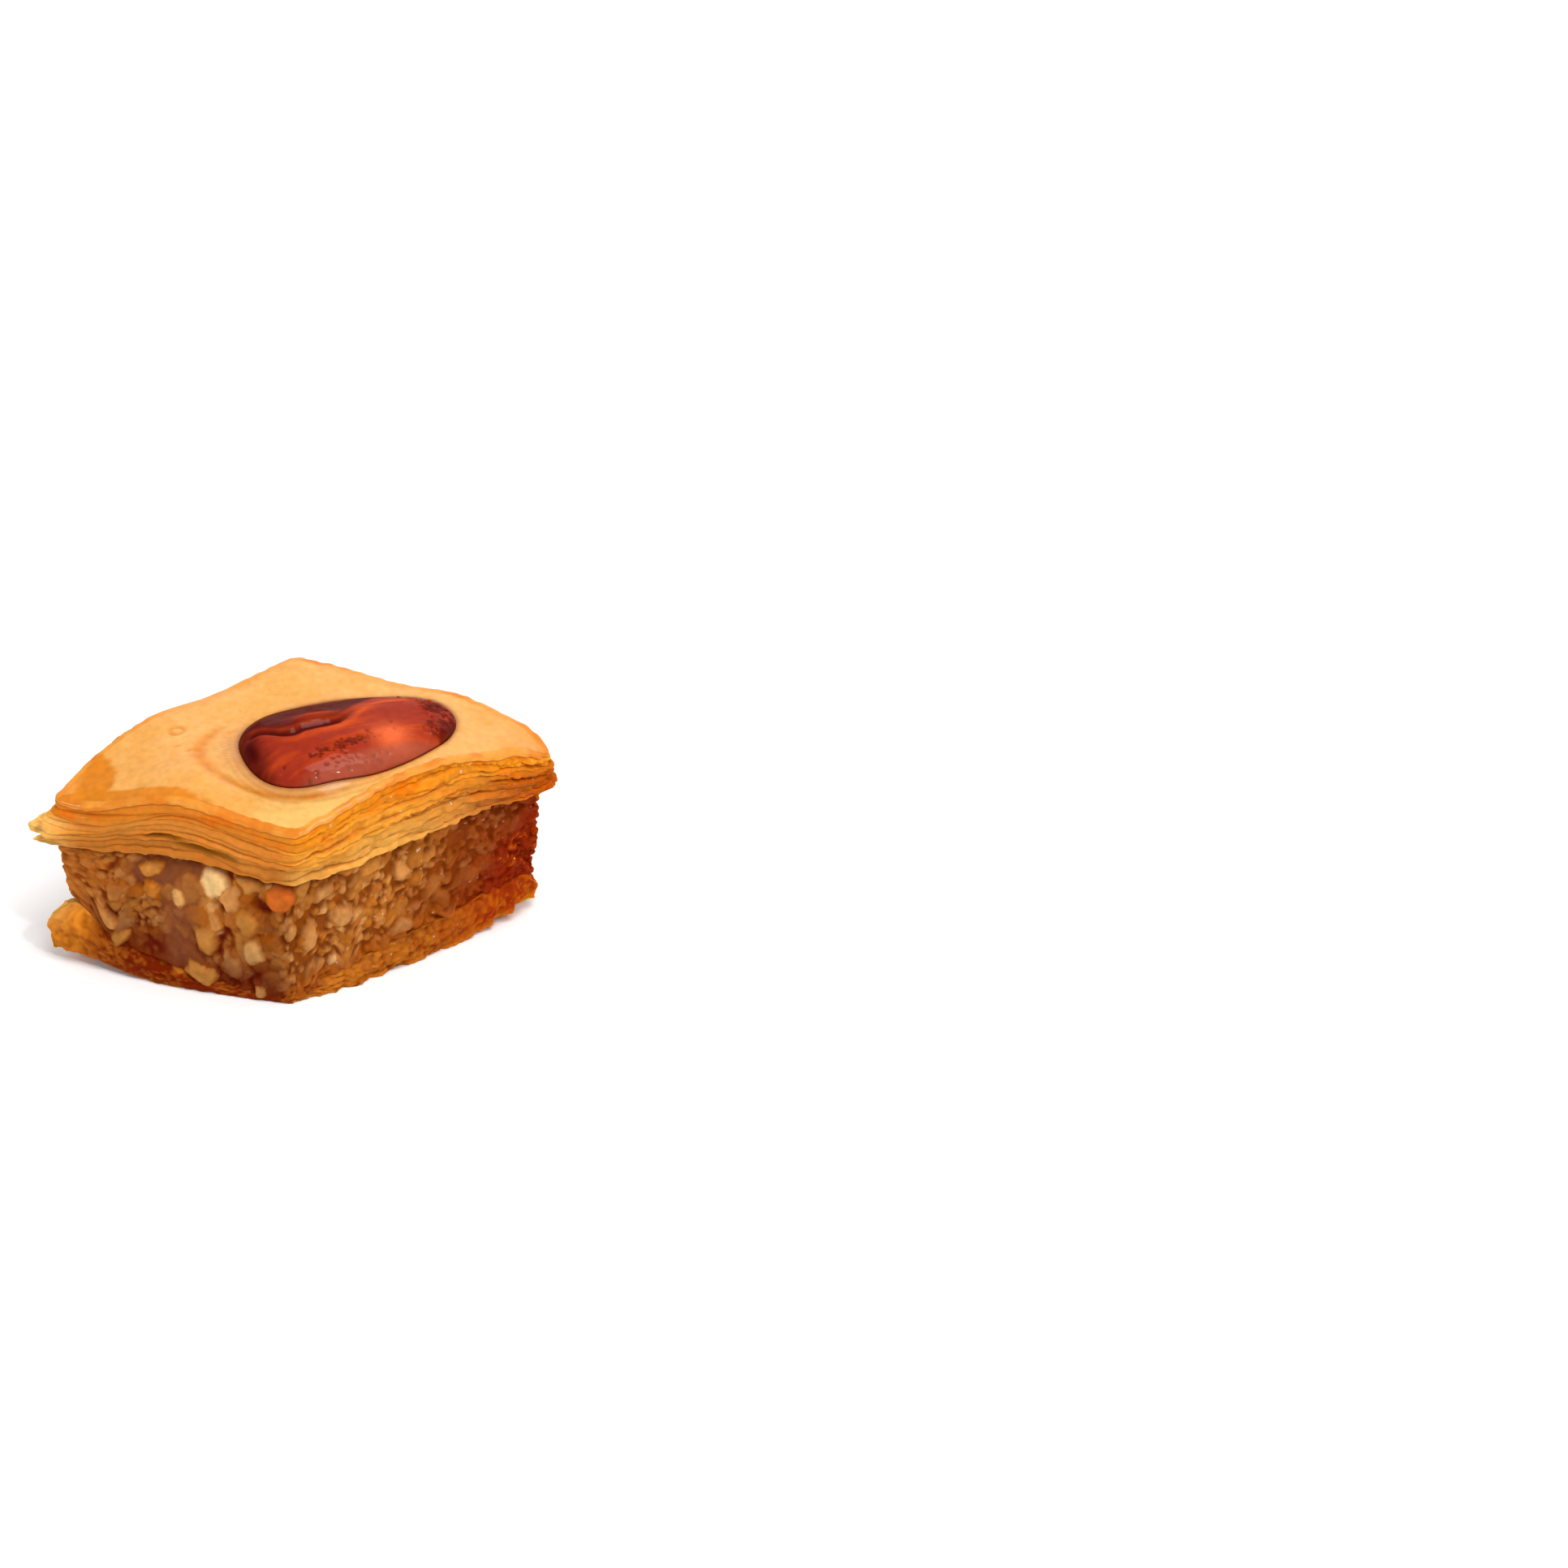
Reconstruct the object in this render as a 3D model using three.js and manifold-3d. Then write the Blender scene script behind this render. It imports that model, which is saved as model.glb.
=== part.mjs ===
// A diamond-cut piece of baklava: a stack of thin pastry leaves over a chopped nut
// filling, on a thinner bottom pastry, with one whole almond pressed into the top.
// Millimetres, +Z up. X runs along the long diagonal of the cut, Y towards the back.
// The origin is on the resting plane, under the middle of the piece.

import * as THREE from "three";
import { mergeVertices } from "three/addons/utils/BufferGeometryUtils.js";
import Module from "manifold-3d";

const wasm = await Module();
wasm.setup();

// ---------------------------------------------------------------- driving sizes

// The cut outline at three heights: corners front, right, back and left, which is
// counter-clockwise from above. The piece was cut by hand, so the walls lean a little.
const plan = (...corners) => corners.map(([x, y]) => new THREE.Vector2(x, y));
const BASE_PLAN = plan([-3.2, -14.9], [25.6, 0.0], [1.4, 14.0], [-27.6, -1.4]);
const JOINT_PLAN = plan([-2.2, -14.6], [26.9, -0.8], [1.4, 14.4], [-26.2, -1.0]);
const TOP_PLAN = plan([-0.5, -15.1], [26.7, -1.4], [1.3, 14.6], [-25.8, -1.2]);
const JOINT_LEVEL = 0.68; // where the middle outline lies, as a share of the height
const CORNER_SOFTNESS = 1.1; // half the length over which a cut corner is rounded
const PLAN_MIDDLE = new THREE.Vector2(0.3, -0.3); // where the rings of a cap shrink to
const PIECE_MIDDLE = new THREE.Vector2(-0.535, -0.35); // the middle of the finished box

const PLATEAU = 24.0; // height of the top leaf half way along its edges
const FILLING_TOP = 16.4; // height of the joint under the pastry stack
const FILLING_BASE = 4.5; // height of the joint over the bottom pastry
const JOINT_GAP = 0.4; // clearance between neighbouring sub-parts

const LEAVES = 8; // leaf bundles that show at the cut side
const LEAF_RAGGED = 0.35; // how far a leaf's edge wanders in and out
const LEAF_GROOVE = 0.75; // how deep the slit between two leaves is
const SLIT_SHARE = 0.18; // half the slit's mouth, as a share of a leaf's thickness

const PASTRY_COLUMNS = 74; // points round a pastry's cut side, crowded at the corners
const CORE_COLUMNS = 40; // the same round the filling's core, which the nuts hide

// Where the rings of a cap lie, as shares of the way from the edge to the middle.
const TOP_CAP_SHARES = [0.06, 0.2, 0.42, 0.7];
const BOTTOM_CAP_SHARES = [0.1, 0.3, 0.6];
const TRIM_CAP_SHARES = [0.15, 0.3, 0.6];
const CORE_CAP_SHARES = [0.5];

const [FRONT, RIGHT, BACK, LEFT] = JOINT_PLAN;

// The corners of the top leaf sag or lift over this reach: [corner, rise, reach].
const TOP_CORNERS = [
  [FRONT, -1.5, 13],
  [RIGHT, -2.8, 14],
  [BACK, 1.2, 12],
  [LEFT, -3.8, 16],
];
// Along the two front sides the top leaf droops as well, over the outer part of the
// way from the middle to the cut, and fades in over this much Y.
const FRONT_DROOP = { depth: 0.8, start: 0.62, fade: 4 };
// The filling sinks towards the front and follows the sag of the two sharp corners.
const JOINT_CORNERS = [
  [FRONT, -1.7, 23],
  [RIGHT, -1.0, 16],
  [LEFT, -2.0, 16],
];
// The bottom pastry is thicker at the two sharp corners, thinner at the front, and
// thinnest where the filling presses on it, half way along the front-left side.
const LIP_CORNERS = [
  [RIGHT, 0.8, 15],
  [LEFT, 3.4, 7.4],
  [FRONT, -2.2, 28],
  [new THREE.Vector2(-10, -12), -1.4, 10],
];
// Its two sharp corners curl up.
const CURL_CORNERS = [
  [RIGHT, 1.6, 13],
  [LEFT, 1.6, 13],
];

// How far the wall bows out (+) or in (-) half way along each side, for the sides
// front-right, back-right, back-left and front-left, and where along it the most is.
const BOW_PEAK = [0.5, 0.18, 0.7, 0.5];
const STACK_TOP_BOW = [-1.0, 2.2, 2.1, 0.2];
const STACK_BASE_BOW = [1.1, 1.2, 1.2, -0.1];
const FILLING_TOP_BOW = [-0.1, -0.2, -0.2, -0.6];
const FILLING_BASE_BOW = [0.5, -0.4, -0.4, 0.7];
const BOTTOM_BOW = [1.3, 0.6, 0.6, 1.0];

// At the two sharp corners the sub-parts jut out (+) or draw back (-): how far, and
// over what reach along the side.
const STACK_RIGHT_JUT = { base: 1.2, reach: 8 };
const STACK_LEFT_FLAP = { out: 2.9, level: 0.25, spread: 0.4, reach: 8 };
const FILLING_LEFT_JUT = { base: -2.0, top: 0.2, reach: 10 };
const FILLING_RIGHT_JUT = { out: -0.4, reach: 9 };
const BOTTOM_LEFT_JUT = { base: 1.0, top: -0.6, reach: 7 };

const CORE_INSET = 0.8; // the filling's core lies this far inside the outline
const CORE_BULGE = 0.4; // and swells by this much half way up
const BOTTOM_INSET = 0.2;
const BOTTOM_TUCK = 0.5; // the lowest edge of the bottom pastry is tucked in
const BOTTOM_LEAVES = 3;
const BOTTOM_RAGGED = 0.3;
const TRIM_REACH = 4; // the slab that trims the nuts reaches this far past the outline

const ALMOND = {
  length: 23.5,
  width: 14.0,
  thickness: 6.8,
  middle: new THREE.Vector3(5.7, -0.6, 23.1),
  heading: 0.27, // radians from X, seen from above
  pitch: -0.02, // radians, tip down
  blunt: 0.19, // how much wider the blunt end is than the middle
  full: 0.12, // how much fuller both ends are than an ellipse
  ridges: 7, // lengthwise ridges round the section
  ridgeDepth: 0.018, // as a share of the radius
};

const NUT = {
  rows: 3,
  spacing: 4.4, // along the side
  smallest: 1.3, // radius
  largest: 2.4,
  proud: -0.05, // how far a middle stands out of the core, as a share of the radius
  seed: 11,
};

// ---------------------------------------------------------------- small helpers

function seededRandom(seed) {
  let state = seed >>> 0;
  return () => {
    state = (state + 0x6d2b79f5) >>> 0;
    let mixed = Math.imul(state ^ (state >>> 15), state | 1);
    mixed ^= mixed + Math.imul(mixed ^ (mixed >>> 7), mixed | 61);
    return ((mixed ^ (mixed >>> 14)) >>> 0) / 4294967296;
  };
}

// A smooth dome: 1 at the middle, 0 from the reach outwards.
function dome(distance, reach) {
  const share = Math.min(1, distance / reach);
  return (1 - share) * (1 - share) * (1 + 2 * share);
}

function cornerRise(x, y, corners) {
  let rise = 0;
  for (const [corner, height, reach] of corners) {
    rise += height * dome(Math.hypot(x - corner.x, y - corner.y), reach);
  }
  return rise;
}

// A wandering line round the piece that closes on itself, from -1 to 1.
function makeRipple(seed, slowest, fastest) {
  const random = seededRandom(seed);
  const waves = [];
  for (let turns = slowest; turns <= fastest; turns += 1) {
    waves.push({ turns, phase: random() * 2 * Math.PI, size: 0.4 + random() });
  }
  const total = Math.sqrt(waves.reduce((sum, wave) => sum + wave.size ** 2, 0));
  return (share) =>
    waves.reduce(
      (sum, wave) => sum + wave.size * Math.sin(2 * Math.PI * wave.turns * share + wave.phase),
      0,
    ) / total;
}

// ---------------------------------------------------------------- the cut outline

const SIDE_LENGTHS = JOINT_PLAN.map((corner, i) => corner.distanceTo(JOINT_PLAN[(i + 1) % 4]));
const PERIMETER = SIDE_LENGTHS.reduce((sum, length) => sum + length, 0);

// Which side a distance along the outline falls on, and the share of it behind.
function sideAt(distance) {
  let left = ((distance % PERIMETER) + PERIMETER) % PERIMETER;
  let side = 0;
  while (side < 3 && left > SIDE_LENGTHS[side]) {
    left -= SIDE_LENGTHS[side];
    side += 1;
  }
  return { side, share: left / SIDE_LENGTHS[side] };
}

// A point on one of the three outlines, its corners rounded: the mean of the
// sharp-cornered outline over a short stretch.
function roundedPoint(corners, distance) {
  const taps = 4;
  const mean = new THREE.Vector2();
  for (let tap = -taps; tap <= taps; tap += 1) {
    const { side, share } = sideAt(distance + (tap / taps) * CORNER_SOFTNESS);
    mean.add(corners[side].clone().lerp(corners[(side + 1) % 4], share));
  }
  return mean.divideScalar(2 * taps + 1);
}

// A place on the outline: its point at each of the three heights, and the way out.
function stationAt(distance) {
  const behind = roundedPoint(JOINT_PLAN, distance - 0.2);
  const along = roundedPoint(JOINT_PLAN, distance + 0.2).sub(behind).normalize();
  return {
    ...sideAt(distance),
    turn: distance / PERIMETER,
    base: roundedPoint(BASE_PLAN, distance),
    joint: roundedPoint(JOINT_PLAN, distance),
    top: roundedPoint(TOP_PLAN, distance),
    outward: new THREE.Vector2(along.y, -along.x),
  };
}

// The point of the wall at a station and level of the whole height, moved out along
// the wall's normal and, at a sharp corner, away from the middle of the plan.
function wallPoint(station, level, out, jut = 0) {
  const point =
    level < JOINT_LEVEL
      ? station.base.clone().lerp(station.joint, level / JOINT_LEVEL)
      : station.joint.clone().lerp(station.top, (level - JOINT_LEVEL) / (1 - JOINT_LEVEL));
  const away = station.joint.clone().sub(PLAN_MIDDLE).normalize();
  return point.addScaledVector(station.outward, out).addScaledVector(away, jut);
}

// The places where each ring of a side has a point, closer together near the corners.
function makeStations(columns) {
  const stations = [];
  for (let side = 0, start = 0; side < 4; start += SIDE_LENGTHS[side], side += 1) {
    const count = Math.round((columns * SIDE_LENGTHS[side]) / PERIMETER);
    for (let i = 0; i < count; i += 1) {
      const even = i / count;
      const crowded = 0.5 - 0.5 * Math.cos(Math.PI * even);
      stations.push(stationAt(start + SIDE_LENGTHS[side] * (0.45 * even + 0.55 * crowded)));
    }
  }
  return stations;
}

const PASTRY_STATIONS = makeStations(PASTRY_COLUMNS);
const CORE_STATIONS = makeStations(CORE_COLUMNS);

// How far a side's bow pushes the wall out at a station.
function bowAt(station, bows) {
  const skew = Math.log(0.5) / Math.log(BOW_PEAK[station.side]);
  return bows[station.side] * Math.sin(Math.PI * station.share ** skew);
}

function nearCorner(station, corner, reach) {
  return dome(station.joint.distanceTo(corner), reach);
}

// ---------------------------------------------------------------- heights

// How far out a place lies, seen from above: 0 in the middle, about 1 at the cut.
function outwardShare(x, y) {
  return Math.abs(x - PLAN_MIDDLE.x) / (RIGHT.x - PLAN_MIDDLE.x) +
    Math.abs(y - PLAN_MIDDLE.y) / (BACK.y - PLAN_MIDDLE.y);
}

function frontDroop(x, y) {
  const { depth, start, fade } = FRONT_DROOP;
  const share = THREE.MathUtils.clamp((outwardShare(x, y) - start) / (1 - start), 0, 1.2);
  return -depth * share * share * THREE.MathUtils.smoothstep(-y, 0, fade);
}

function topHeight(x, y) {
  return PLATEAU + 0.03 * y + cornerRise(x, y, TOP_CORNERS) + frontDroop(x, y);
}

function fillingTopHeight(x, y) {
  return FILLING_TOP + cornerRise(x, y, JOINT_CORNERS) + 0.25 * Math.sin(x / 4.1) * Math.sin(y / 3.3);
}

function fillingBaseHeight(x, y) {
  return FILLING_BASE + cornerRise(x, y, LIP_CORNERS) + 0.3 * Math.sin(x / 3.7 + 1) * Math.cos(y / 4.3);
}

function undersideHeight(x, y) {
  return cornerRise(x, y, CURL_CORNERS);
}

// ---------------------------------------------------------------- closed ring solids

// A closed body from rings of equal count, lowest first. Each cap is closed by rings
// that shrink towards the middle of the plan and follow a height function.
function ringSolid(rings, capShares, lowHeight, highHeight) {
  const shrink = (ring, share, height) =>
    ring.map((p) => {
      const x = THREE.MathUtils.lerp(p.x, PLAN_MIDDLE.x, share);
      const y = THREE.MathUtils.lerp(p.y, PLAN_MIDDLE.y, share);
      return new THREE.Vector3(x, y, height(x, y));
    });
  const low = capShares.map((share) => shrink(rings[0], share, lowHeight)).reverse();
  const high = capShares.map((share) => shrink(rings[rings.length - 1], share, highHeight));
  const all = [...low, ...rings, ...high];
  const count = rings[0].length;
  const points = all.flat();
  const middle = (height) => {
    const { x, y } = PLAN_MIDDLE;
    return new THREE.Vector3(x, y, height(x, y));
  };
  const lowMiddle = points.push(middle(lowHeight)) - 1;
  const highMiddle = points.push(middle(highHeight)) - 1;
  const index = [];
  for (let ring = 0; ring + 1 < all.length; ring += 1) {
    for (let i = 0; i < count; i += 1) {
      const a = ring * count + i;
      const b = ring * count + ((i + 1) % count);
      index.push(a, b, b + count, a, b + count, a + count);
    }
  }
  const lastRing = (all.length - 1) * count;
  for (let i = 0; i < count; i += 1) {
    const next = (i + 1) % count;
    index.push(lowMiddle, next, i);
    index.push(highMiddle, lastRing + i, lastRing + next);
  }
  const geometry = new THREE.BufferGeometry().setFromPoints(points);
  geometry.setIndex(index);
  return geometry;
}

// One ring of the side: at every station, pushed out by offset and jut, and set at a
// share of the height between two height functions.
function sideRing(stations, share, lowHeight, highHeight, offset, jut = () => 0) {
  return stations.map((station) => {
    const rough = station.joint;
    const z = THREE.MathUtils.lerp(lowHeight(rough.x, rough.y), highHeight(rough.x, rough.y), share);
    const { x, y } = wallPoint(station, z / PLATEAU, offset(station), jut(station));
    return new THREE.Vector3(x, y, THREE.MathUtils.lerp(lowHeight(x, y), highHeight(x, y), share));
  });
}

// ---------------------------------------------------------------- joining and cutting

function toSolid(geometry) {
  const bare = geometry.clone();
  bare.deleteAttribute("normal");
  bare.deleteAttribute("uv");
  const merged = mergeVertices(bare, 1e-4);
  return new wasm.Manifold(
    new wasm.Mesh({
      numProp: 3,
      vertProperties: new Float32Array(merged.attributes.position.array),
      triVerts: new Uint32Array(merged.index.array),
    }),
  );
}

function toGeometry(solid) {
  const mesh = solid.getMesh();
  const geometry = new THREE.BufferGeometry();
  geometry.setAttribute("position", new THREE.BufferAttribute(mesh.vertProperties, 3));
  geometry.setIndex(new THREE.BufferAttribute(mesh.triVerts, 1));
  geometry.computeVertexNormals();
  return geometry;
}

function largestBody(solid) {
  return solid.decompose().reduce((best, body) => (body.volume() > best.volume() ? body : best));
}

// ---------------------------------------------------------------- sub-parts

// An almond lying flat: blunt at one end, narrower at the other, ridged along its
// length. extra swells it, for cutting the seat that it lies in.
function almondGeometry(extra = 0) {
  const geometry = new THREE.SphereGeometry(1, 26, 12);
  const position = geometry.attributes.position;
  const half = ALMOND.length / 2;
  for (let i = 0; i < position.count; i += 1) {
    const along = position.getY(i); // the sphere's poles become the two ends
    const radius = Math.hypot(position.getX(i), position.getZ(i));
    const angle = Math.atan2(position.getX(i), position.getZ(i));
    const taper = 1 - ALMOND.blunt * along + ALMOND.full * along * along;
    const ridge = 1 + ALMOND.ridgeDepth * Math.cos(ALMOND.ridges * angle) * (1 - along * along);
    const across = radius * taper * ridge;
    position.setXYZ(
      i,
      along * (half + extra),
      across * Math.cos(angle) * (ALMOND.width / 2 + extra),
      across * Math.sin(angle) * (ALMOND.thickness / 2 + extra),
    );
  }
  geometry.rotateY(-ALMOND.pitch);
  geometry.rotateZ(ALMOND.heading);
  geometry.translate(ALMOND.middle.x, ALMOND.middle.y, ALMOND.middle.z);
  return geometry;
}

// The stack of thin leaves, with a slit between each two and a seat for the almond.
function pastryTop() {
  const low = (x, y) => fillingTopHeight(x, y) + JOINT_GAP / 2;
  const rings = [];
  const wall = (station, share) =>
    THREE.MathUtils.lerp(bowAt(station, STACK_BASE_BOW), bowAt(station, STACK_TOP_BOW), share);
  const flap = STACK_LEFT_FLAP;
  const jutAt = (share) => (station) =>
    STACK_RIGHT_JUT.base * (1 - share) * nearCorner(station, RIGHT, STACK_RIGHT_JUT.reach) +
    flap.out * dome(Math.abs(share - flap.level), flap.spread) * nearCorner(station, LEFT, flap.reach);
  for (let leaf = 0; leaf < LEAVES; leaf += 1) {
    const ripple = makeRipple(100 + leaf, 3, 17);
    const slow = makeRipple(200 + leaf, 1, 5);
    const bottomShare = leaf / LEAVES;
    const topShare = (leaf + 1) / LEAVES;
    const edge = (station, share) =>
      wall(station, share) + LEAF_RAGGED * (0.6 * ripple(station.turn) + 0.6 * slow(station.turn));
    const lowShare = leaf === 0 ? bottomShare : bottomShare + SLIT_SHARE / LEAVES;
    const highShare = leaf === LEAVES - 1 ? topShare : topShare - SLIT_SHARE / LEAVES;
    const addRing = (share, offset) =>
      rings.push(sideRing(PASTRY_STATIONS, share, low, topHeight, offset, jutAt(share)));
    addRing(lowShare, (station) => edge(station, lowShare));
    addRing(highShare, (station) => edge(station, highShare));
    if (leaf < LEAVES - 1) {
      const depth = (station) => LEAF_GROOVE * (0.75 + 0.25 * slow(station.turn));
      addRing(topShare, (station) => edge(station, topShare) - depth(station));
    }
  }
  const body = ringSolid(rings, TOP_CAP_SHARES, low, topHeight);
  return toGeometry(largestBody(toSolid(body).subtract(toSolid(almondGeometry(JOINT_GAP)))));
}

// A chopped piece of nut: a squashed, knocked-about icosahedron.
function nutPiece(random, radius) {
  const geometry = new THREE.IcosahedronGeometry(radius, 0);
  geometry.deleteAttribute("normal");
  geometry.deleteAttribute("uv");
  const piece = mergeVertices(geometry, 1e-4);
  const position = piece.attributes.position;
  const stretch = [0.8 + 0.5 * random(), 0.75 + 0.35 * random(), 0.7 + 0.4 * random()];
  for (let i = 0; i < position.count; i += 1) {
    const knock = 0.82 + 0.36 * random();
    position.setXYZ(
      i,
      position.getX(i) * stretch[0] * knock,
      position.getY(i) * stretch[1] * knock,
      position.getZ(i) * stretch[2] * knock,
    );
  }
  piece.applyQuaternion(
    new THREE.Quaternion(random() - 0.5, random() - 0.5, random() - 0.5, random() - 0.5).normalize(),
  );
  return piece;
}

// The filling: a sticky core with chopped nuts fused on all round the cut side, cut
// to fit between the two pastries that are given.
function nutFilling(bottomPastry, topPastry) {
  const wall = (station, share) =>
    THREE.MathUtils.lerp(bowAt(station, FILLING_BASE_BOW), bowAt(station, FILLING_TOP_BOW), share) -
    CORE_INSET +
    CORE_BULGE * Math.sin(Math.PI * share);
  const left = FILLING_LEFT_JUT;
  const right = FILLING_RIGHT_JUT;
  const jutAt = (share) => (station) =>
    THREE.MathUtils.lerp(left.base, left.top, share) * nearCorner(station, LEFT, left.reach) +
    right.out * nearCorner(station, RIGHT, right.reach);
  const spare = 2 * JOINT_GAP; // the core reaches this far into both pastries until it is cut
  const coreLow = (x, y) => fillingBaseHeight(x, y) - spare;
  const coreHigh = (x, y) => fillingTopHeight(x, y) + spare;
  const rings = [];
  for (const share of [0, 0.33, 0.67, 1]) {
    const offset = (station) => wall(station, share);
    rings.push(sideRing(CORE_STATIONS, share, coreLow, coreHigh, offset, jutAt(share)));
  }
  const pieces = [toSolid(ringSolid(rings, CORE_CAP_SHARES, coreLow, coreHigh))];

  const random = seededRandom(NUT.seed);
  const perRow = Math.round(PERIMETER / NUT.spacing);
  for (let row = 0; row < NUT.rows; row += 1) {
    for (let i = 0; i < perRow; i += 1) {
      const distance = ((i + 0.5 * (row % 2) + 0.5 * (random() - 0.5)) * PERIMETER) / perRow;
      const share = (row + 0.5 + 0.5 * (random() - 0.5)) / NUT.rows;
      const radius = THREE.MathUtils.lerp(NUT.smallest, NUT.largest, random() ** 1.6);
      const station = stationAt(distance);
      const out = wall(station, share) + radius * NUT.proud;
      const level = THREE.MathUtils.lerp(FILLING_BASE, FILLING_TOP, share) / PLATEAU;
      const { x, y } = wallPoint(station, level, out, jutAt(share)(station));
      const piece = nutPiece(random, radius);
      piece.translate(x, y, THREE.MathUtils.lerp(fillingBaseHeight(x, y), fillingTopHeight(x, y), share));
      pieces.push(toSolid(piece));
    }
  }

  // Outside the pastries the nuts are trimmed level with the joints, by a slab that
  // reaches past them on every side.
  const slabRing = (share) =>
    sideRing(CORE_STATIONS, share, fillingBaseHeight, fillingTopHeight, () => TRIM_REACH);
  const slabRings = [slabRing(0), slabRing(1)];
  const slab = toSolid(ringSolid(slabRings, TRIM_CAP_SHARES, fillingBaseHeight, fillingTopHeight));
  const room = slab
    .subtract(toSolid(bottomPastry.clone().translate(0, 0, JOINT_GAP)))
    .subtract(toSolid(topPastry.clone().translate(0, 0, -JOINT_GAP)));
  return toGeometry(largestBody(wasm.Manifold.union(pieces).intersect(room)));
}

// The bottom pastry: soaked, dense leaves that curl up at the two sharp corners.
function pastryBottom() {
  const high = (x, y) => fillingBaseHeight(x, y) - JOINT_GAP / 2;
  const rings = [];
  const wall = (station, share) =>
    bowAt(station, BOTTOM_BOW) * (1 - 0.35 * share) - BOTTOM_INSET - BOTTOM_TUCK * (1 - share) ** 3;
  const left = BOTTOM_LEFT_JUT;
  const jutAt = (share) => (station) =>
    THREE.MathUtils.lerp(left.base, left.top, share) * nearCorner(station, LEFT, left.reach);
  for (let leaf = 0; leaf < BOTTOM_LEAVES; leaf += 1) {
    const ripple = makeRipple(300 + leaf, 4, 19);
    const edge = (station, share) => wall(station, share) + BOTTOM_RAGGED * ripple(station.turn);
    const lowShare = leaf / BOTTOM_LEAVES + (leaf === 0 ? 0 : 0.05);
    const highShare = (leaf + 1) / BOTTOM_LEAVES - (leaf === BOTTOM_LEAVES - 1 ? 0 : 0.05);
    for (const share of [lowShare, highShare]) {
      const offset = (station) => edge(station, share);
      rings.push(sideRing(PASTRY_STATIONS, share, undersideHeight, high, offset, jutAt(share)));
    }
  }
  return ringSolid(rings, BOTTOM_CAP_SHARES, undersideHeight, high);
}

// ---------------------------------------------------------------- the piece

const finish = (color, roughness) => new THREE.MeshStandardMaterial({ color, roughness, metalness: 0 });

const baklava = new THREE.Group();
baklava.position.set(-PIECE_MIDDLE.x, -PIECE_MIDDLE.y, 0);

function addPart(name, geometry, material) {
  const mesh = new THREE.Mesh(geometry, material);
  mesh.name = name;
  baklava.add(mesh);
}

const bottomPastry = pastryBottom();
const topPastry = pastryTop();
addPart("pastry_bottom", bottomPastry, finish(0xb0661c, 0.4));
addPart("nut_filling", nutFilling(bottomPastry, topPastry), finish(0xa8692c, 0.45));
addPart("pastry_top", topPastry, finish(0xe9a24a, 0.3));
addPart("almond", almondGeometry(), finish(0x8c2412, 0.2));

export default baklava;
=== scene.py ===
"""The looks of a diamond-cut piece of baklava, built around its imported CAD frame.

Each CAD node is replaced by a finely modelled piece of the same form: the top leaf and
the stack of leaves under it, the chopped nut filling, the soaked bottom pastry and the
almond. Shapes are worked out in millimetres from the sizes that the solids use.
"""

import math

import bpy
import numpy as np
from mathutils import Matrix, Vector


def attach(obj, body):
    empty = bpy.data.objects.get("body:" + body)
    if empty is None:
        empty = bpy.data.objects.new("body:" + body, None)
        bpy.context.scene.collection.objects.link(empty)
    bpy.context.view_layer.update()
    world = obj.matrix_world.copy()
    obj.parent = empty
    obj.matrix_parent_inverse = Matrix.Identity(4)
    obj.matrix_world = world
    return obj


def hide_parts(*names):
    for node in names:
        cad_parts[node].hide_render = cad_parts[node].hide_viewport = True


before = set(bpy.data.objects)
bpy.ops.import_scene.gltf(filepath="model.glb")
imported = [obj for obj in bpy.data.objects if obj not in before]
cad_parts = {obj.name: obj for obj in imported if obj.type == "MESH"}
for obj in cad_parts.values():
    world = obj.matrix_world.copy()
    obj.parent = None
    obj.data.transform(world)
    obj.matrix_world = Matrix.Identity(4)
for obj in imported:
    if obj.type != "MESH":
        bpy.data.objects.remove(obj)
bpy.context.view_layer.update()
MM = 0.001

# ------ sizes of the solids (mm)

FRONT, RIGHT, BACK, LEFT = 0, 1, 2, 3  # the corners, counter-clockwise from above
BASE_PLAN = np.array([(-3.2, -14.9), (25.6, 0.0), (1.4, 14.0), (-27.6, -1.4)])
JOINT_PLAN = np.array([(-2.2, -14.6), (26.9, -0.8), (1.4, 14.4), (-26.2, -1.0)])
TOP_PLAN = np.array([(-0.5, -15.1), (26.7, -1.4), (1.3, 14.6), (-25.8, -1.2)])
SIDES = np.roll(JOINT_PLAN, -1, axis=0) - JOINT_PLAN
SIDE_LENGTHS = np.hypot(SIDES[:, 0], SIDES[:, 1])
SIDE_ENDS = np.cumsum(SIDE_LENGTHS)
SIDE_STARTS = SIDE_ENDS - SIDE_LENGTHS
PERIMETER = float(SIDE_ENDS[-1])
JOINT_LEVEL = 0.68  # where the joint's plan lies, as a share of the plateau's height
CORNER_SOFTNESS = 1.1
PLAN_MIDDLE = np.array((0.3, -0.3))
PIECE_MIDDLE = np.array((-0.535, -0.35, 0.0))

PLATEAU = 24.0
FILLING_TOP = 16.4
FILLING_BASE = 4.5
TOP_LEAF = 0.55  # thickness of the top leaf, which is modelled apart from the stack
STACK_HEIGHT = 8.5
HOLLOW_DEPTH = 5.2  # how deep the leaves are hollowed out under the almond

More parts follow.
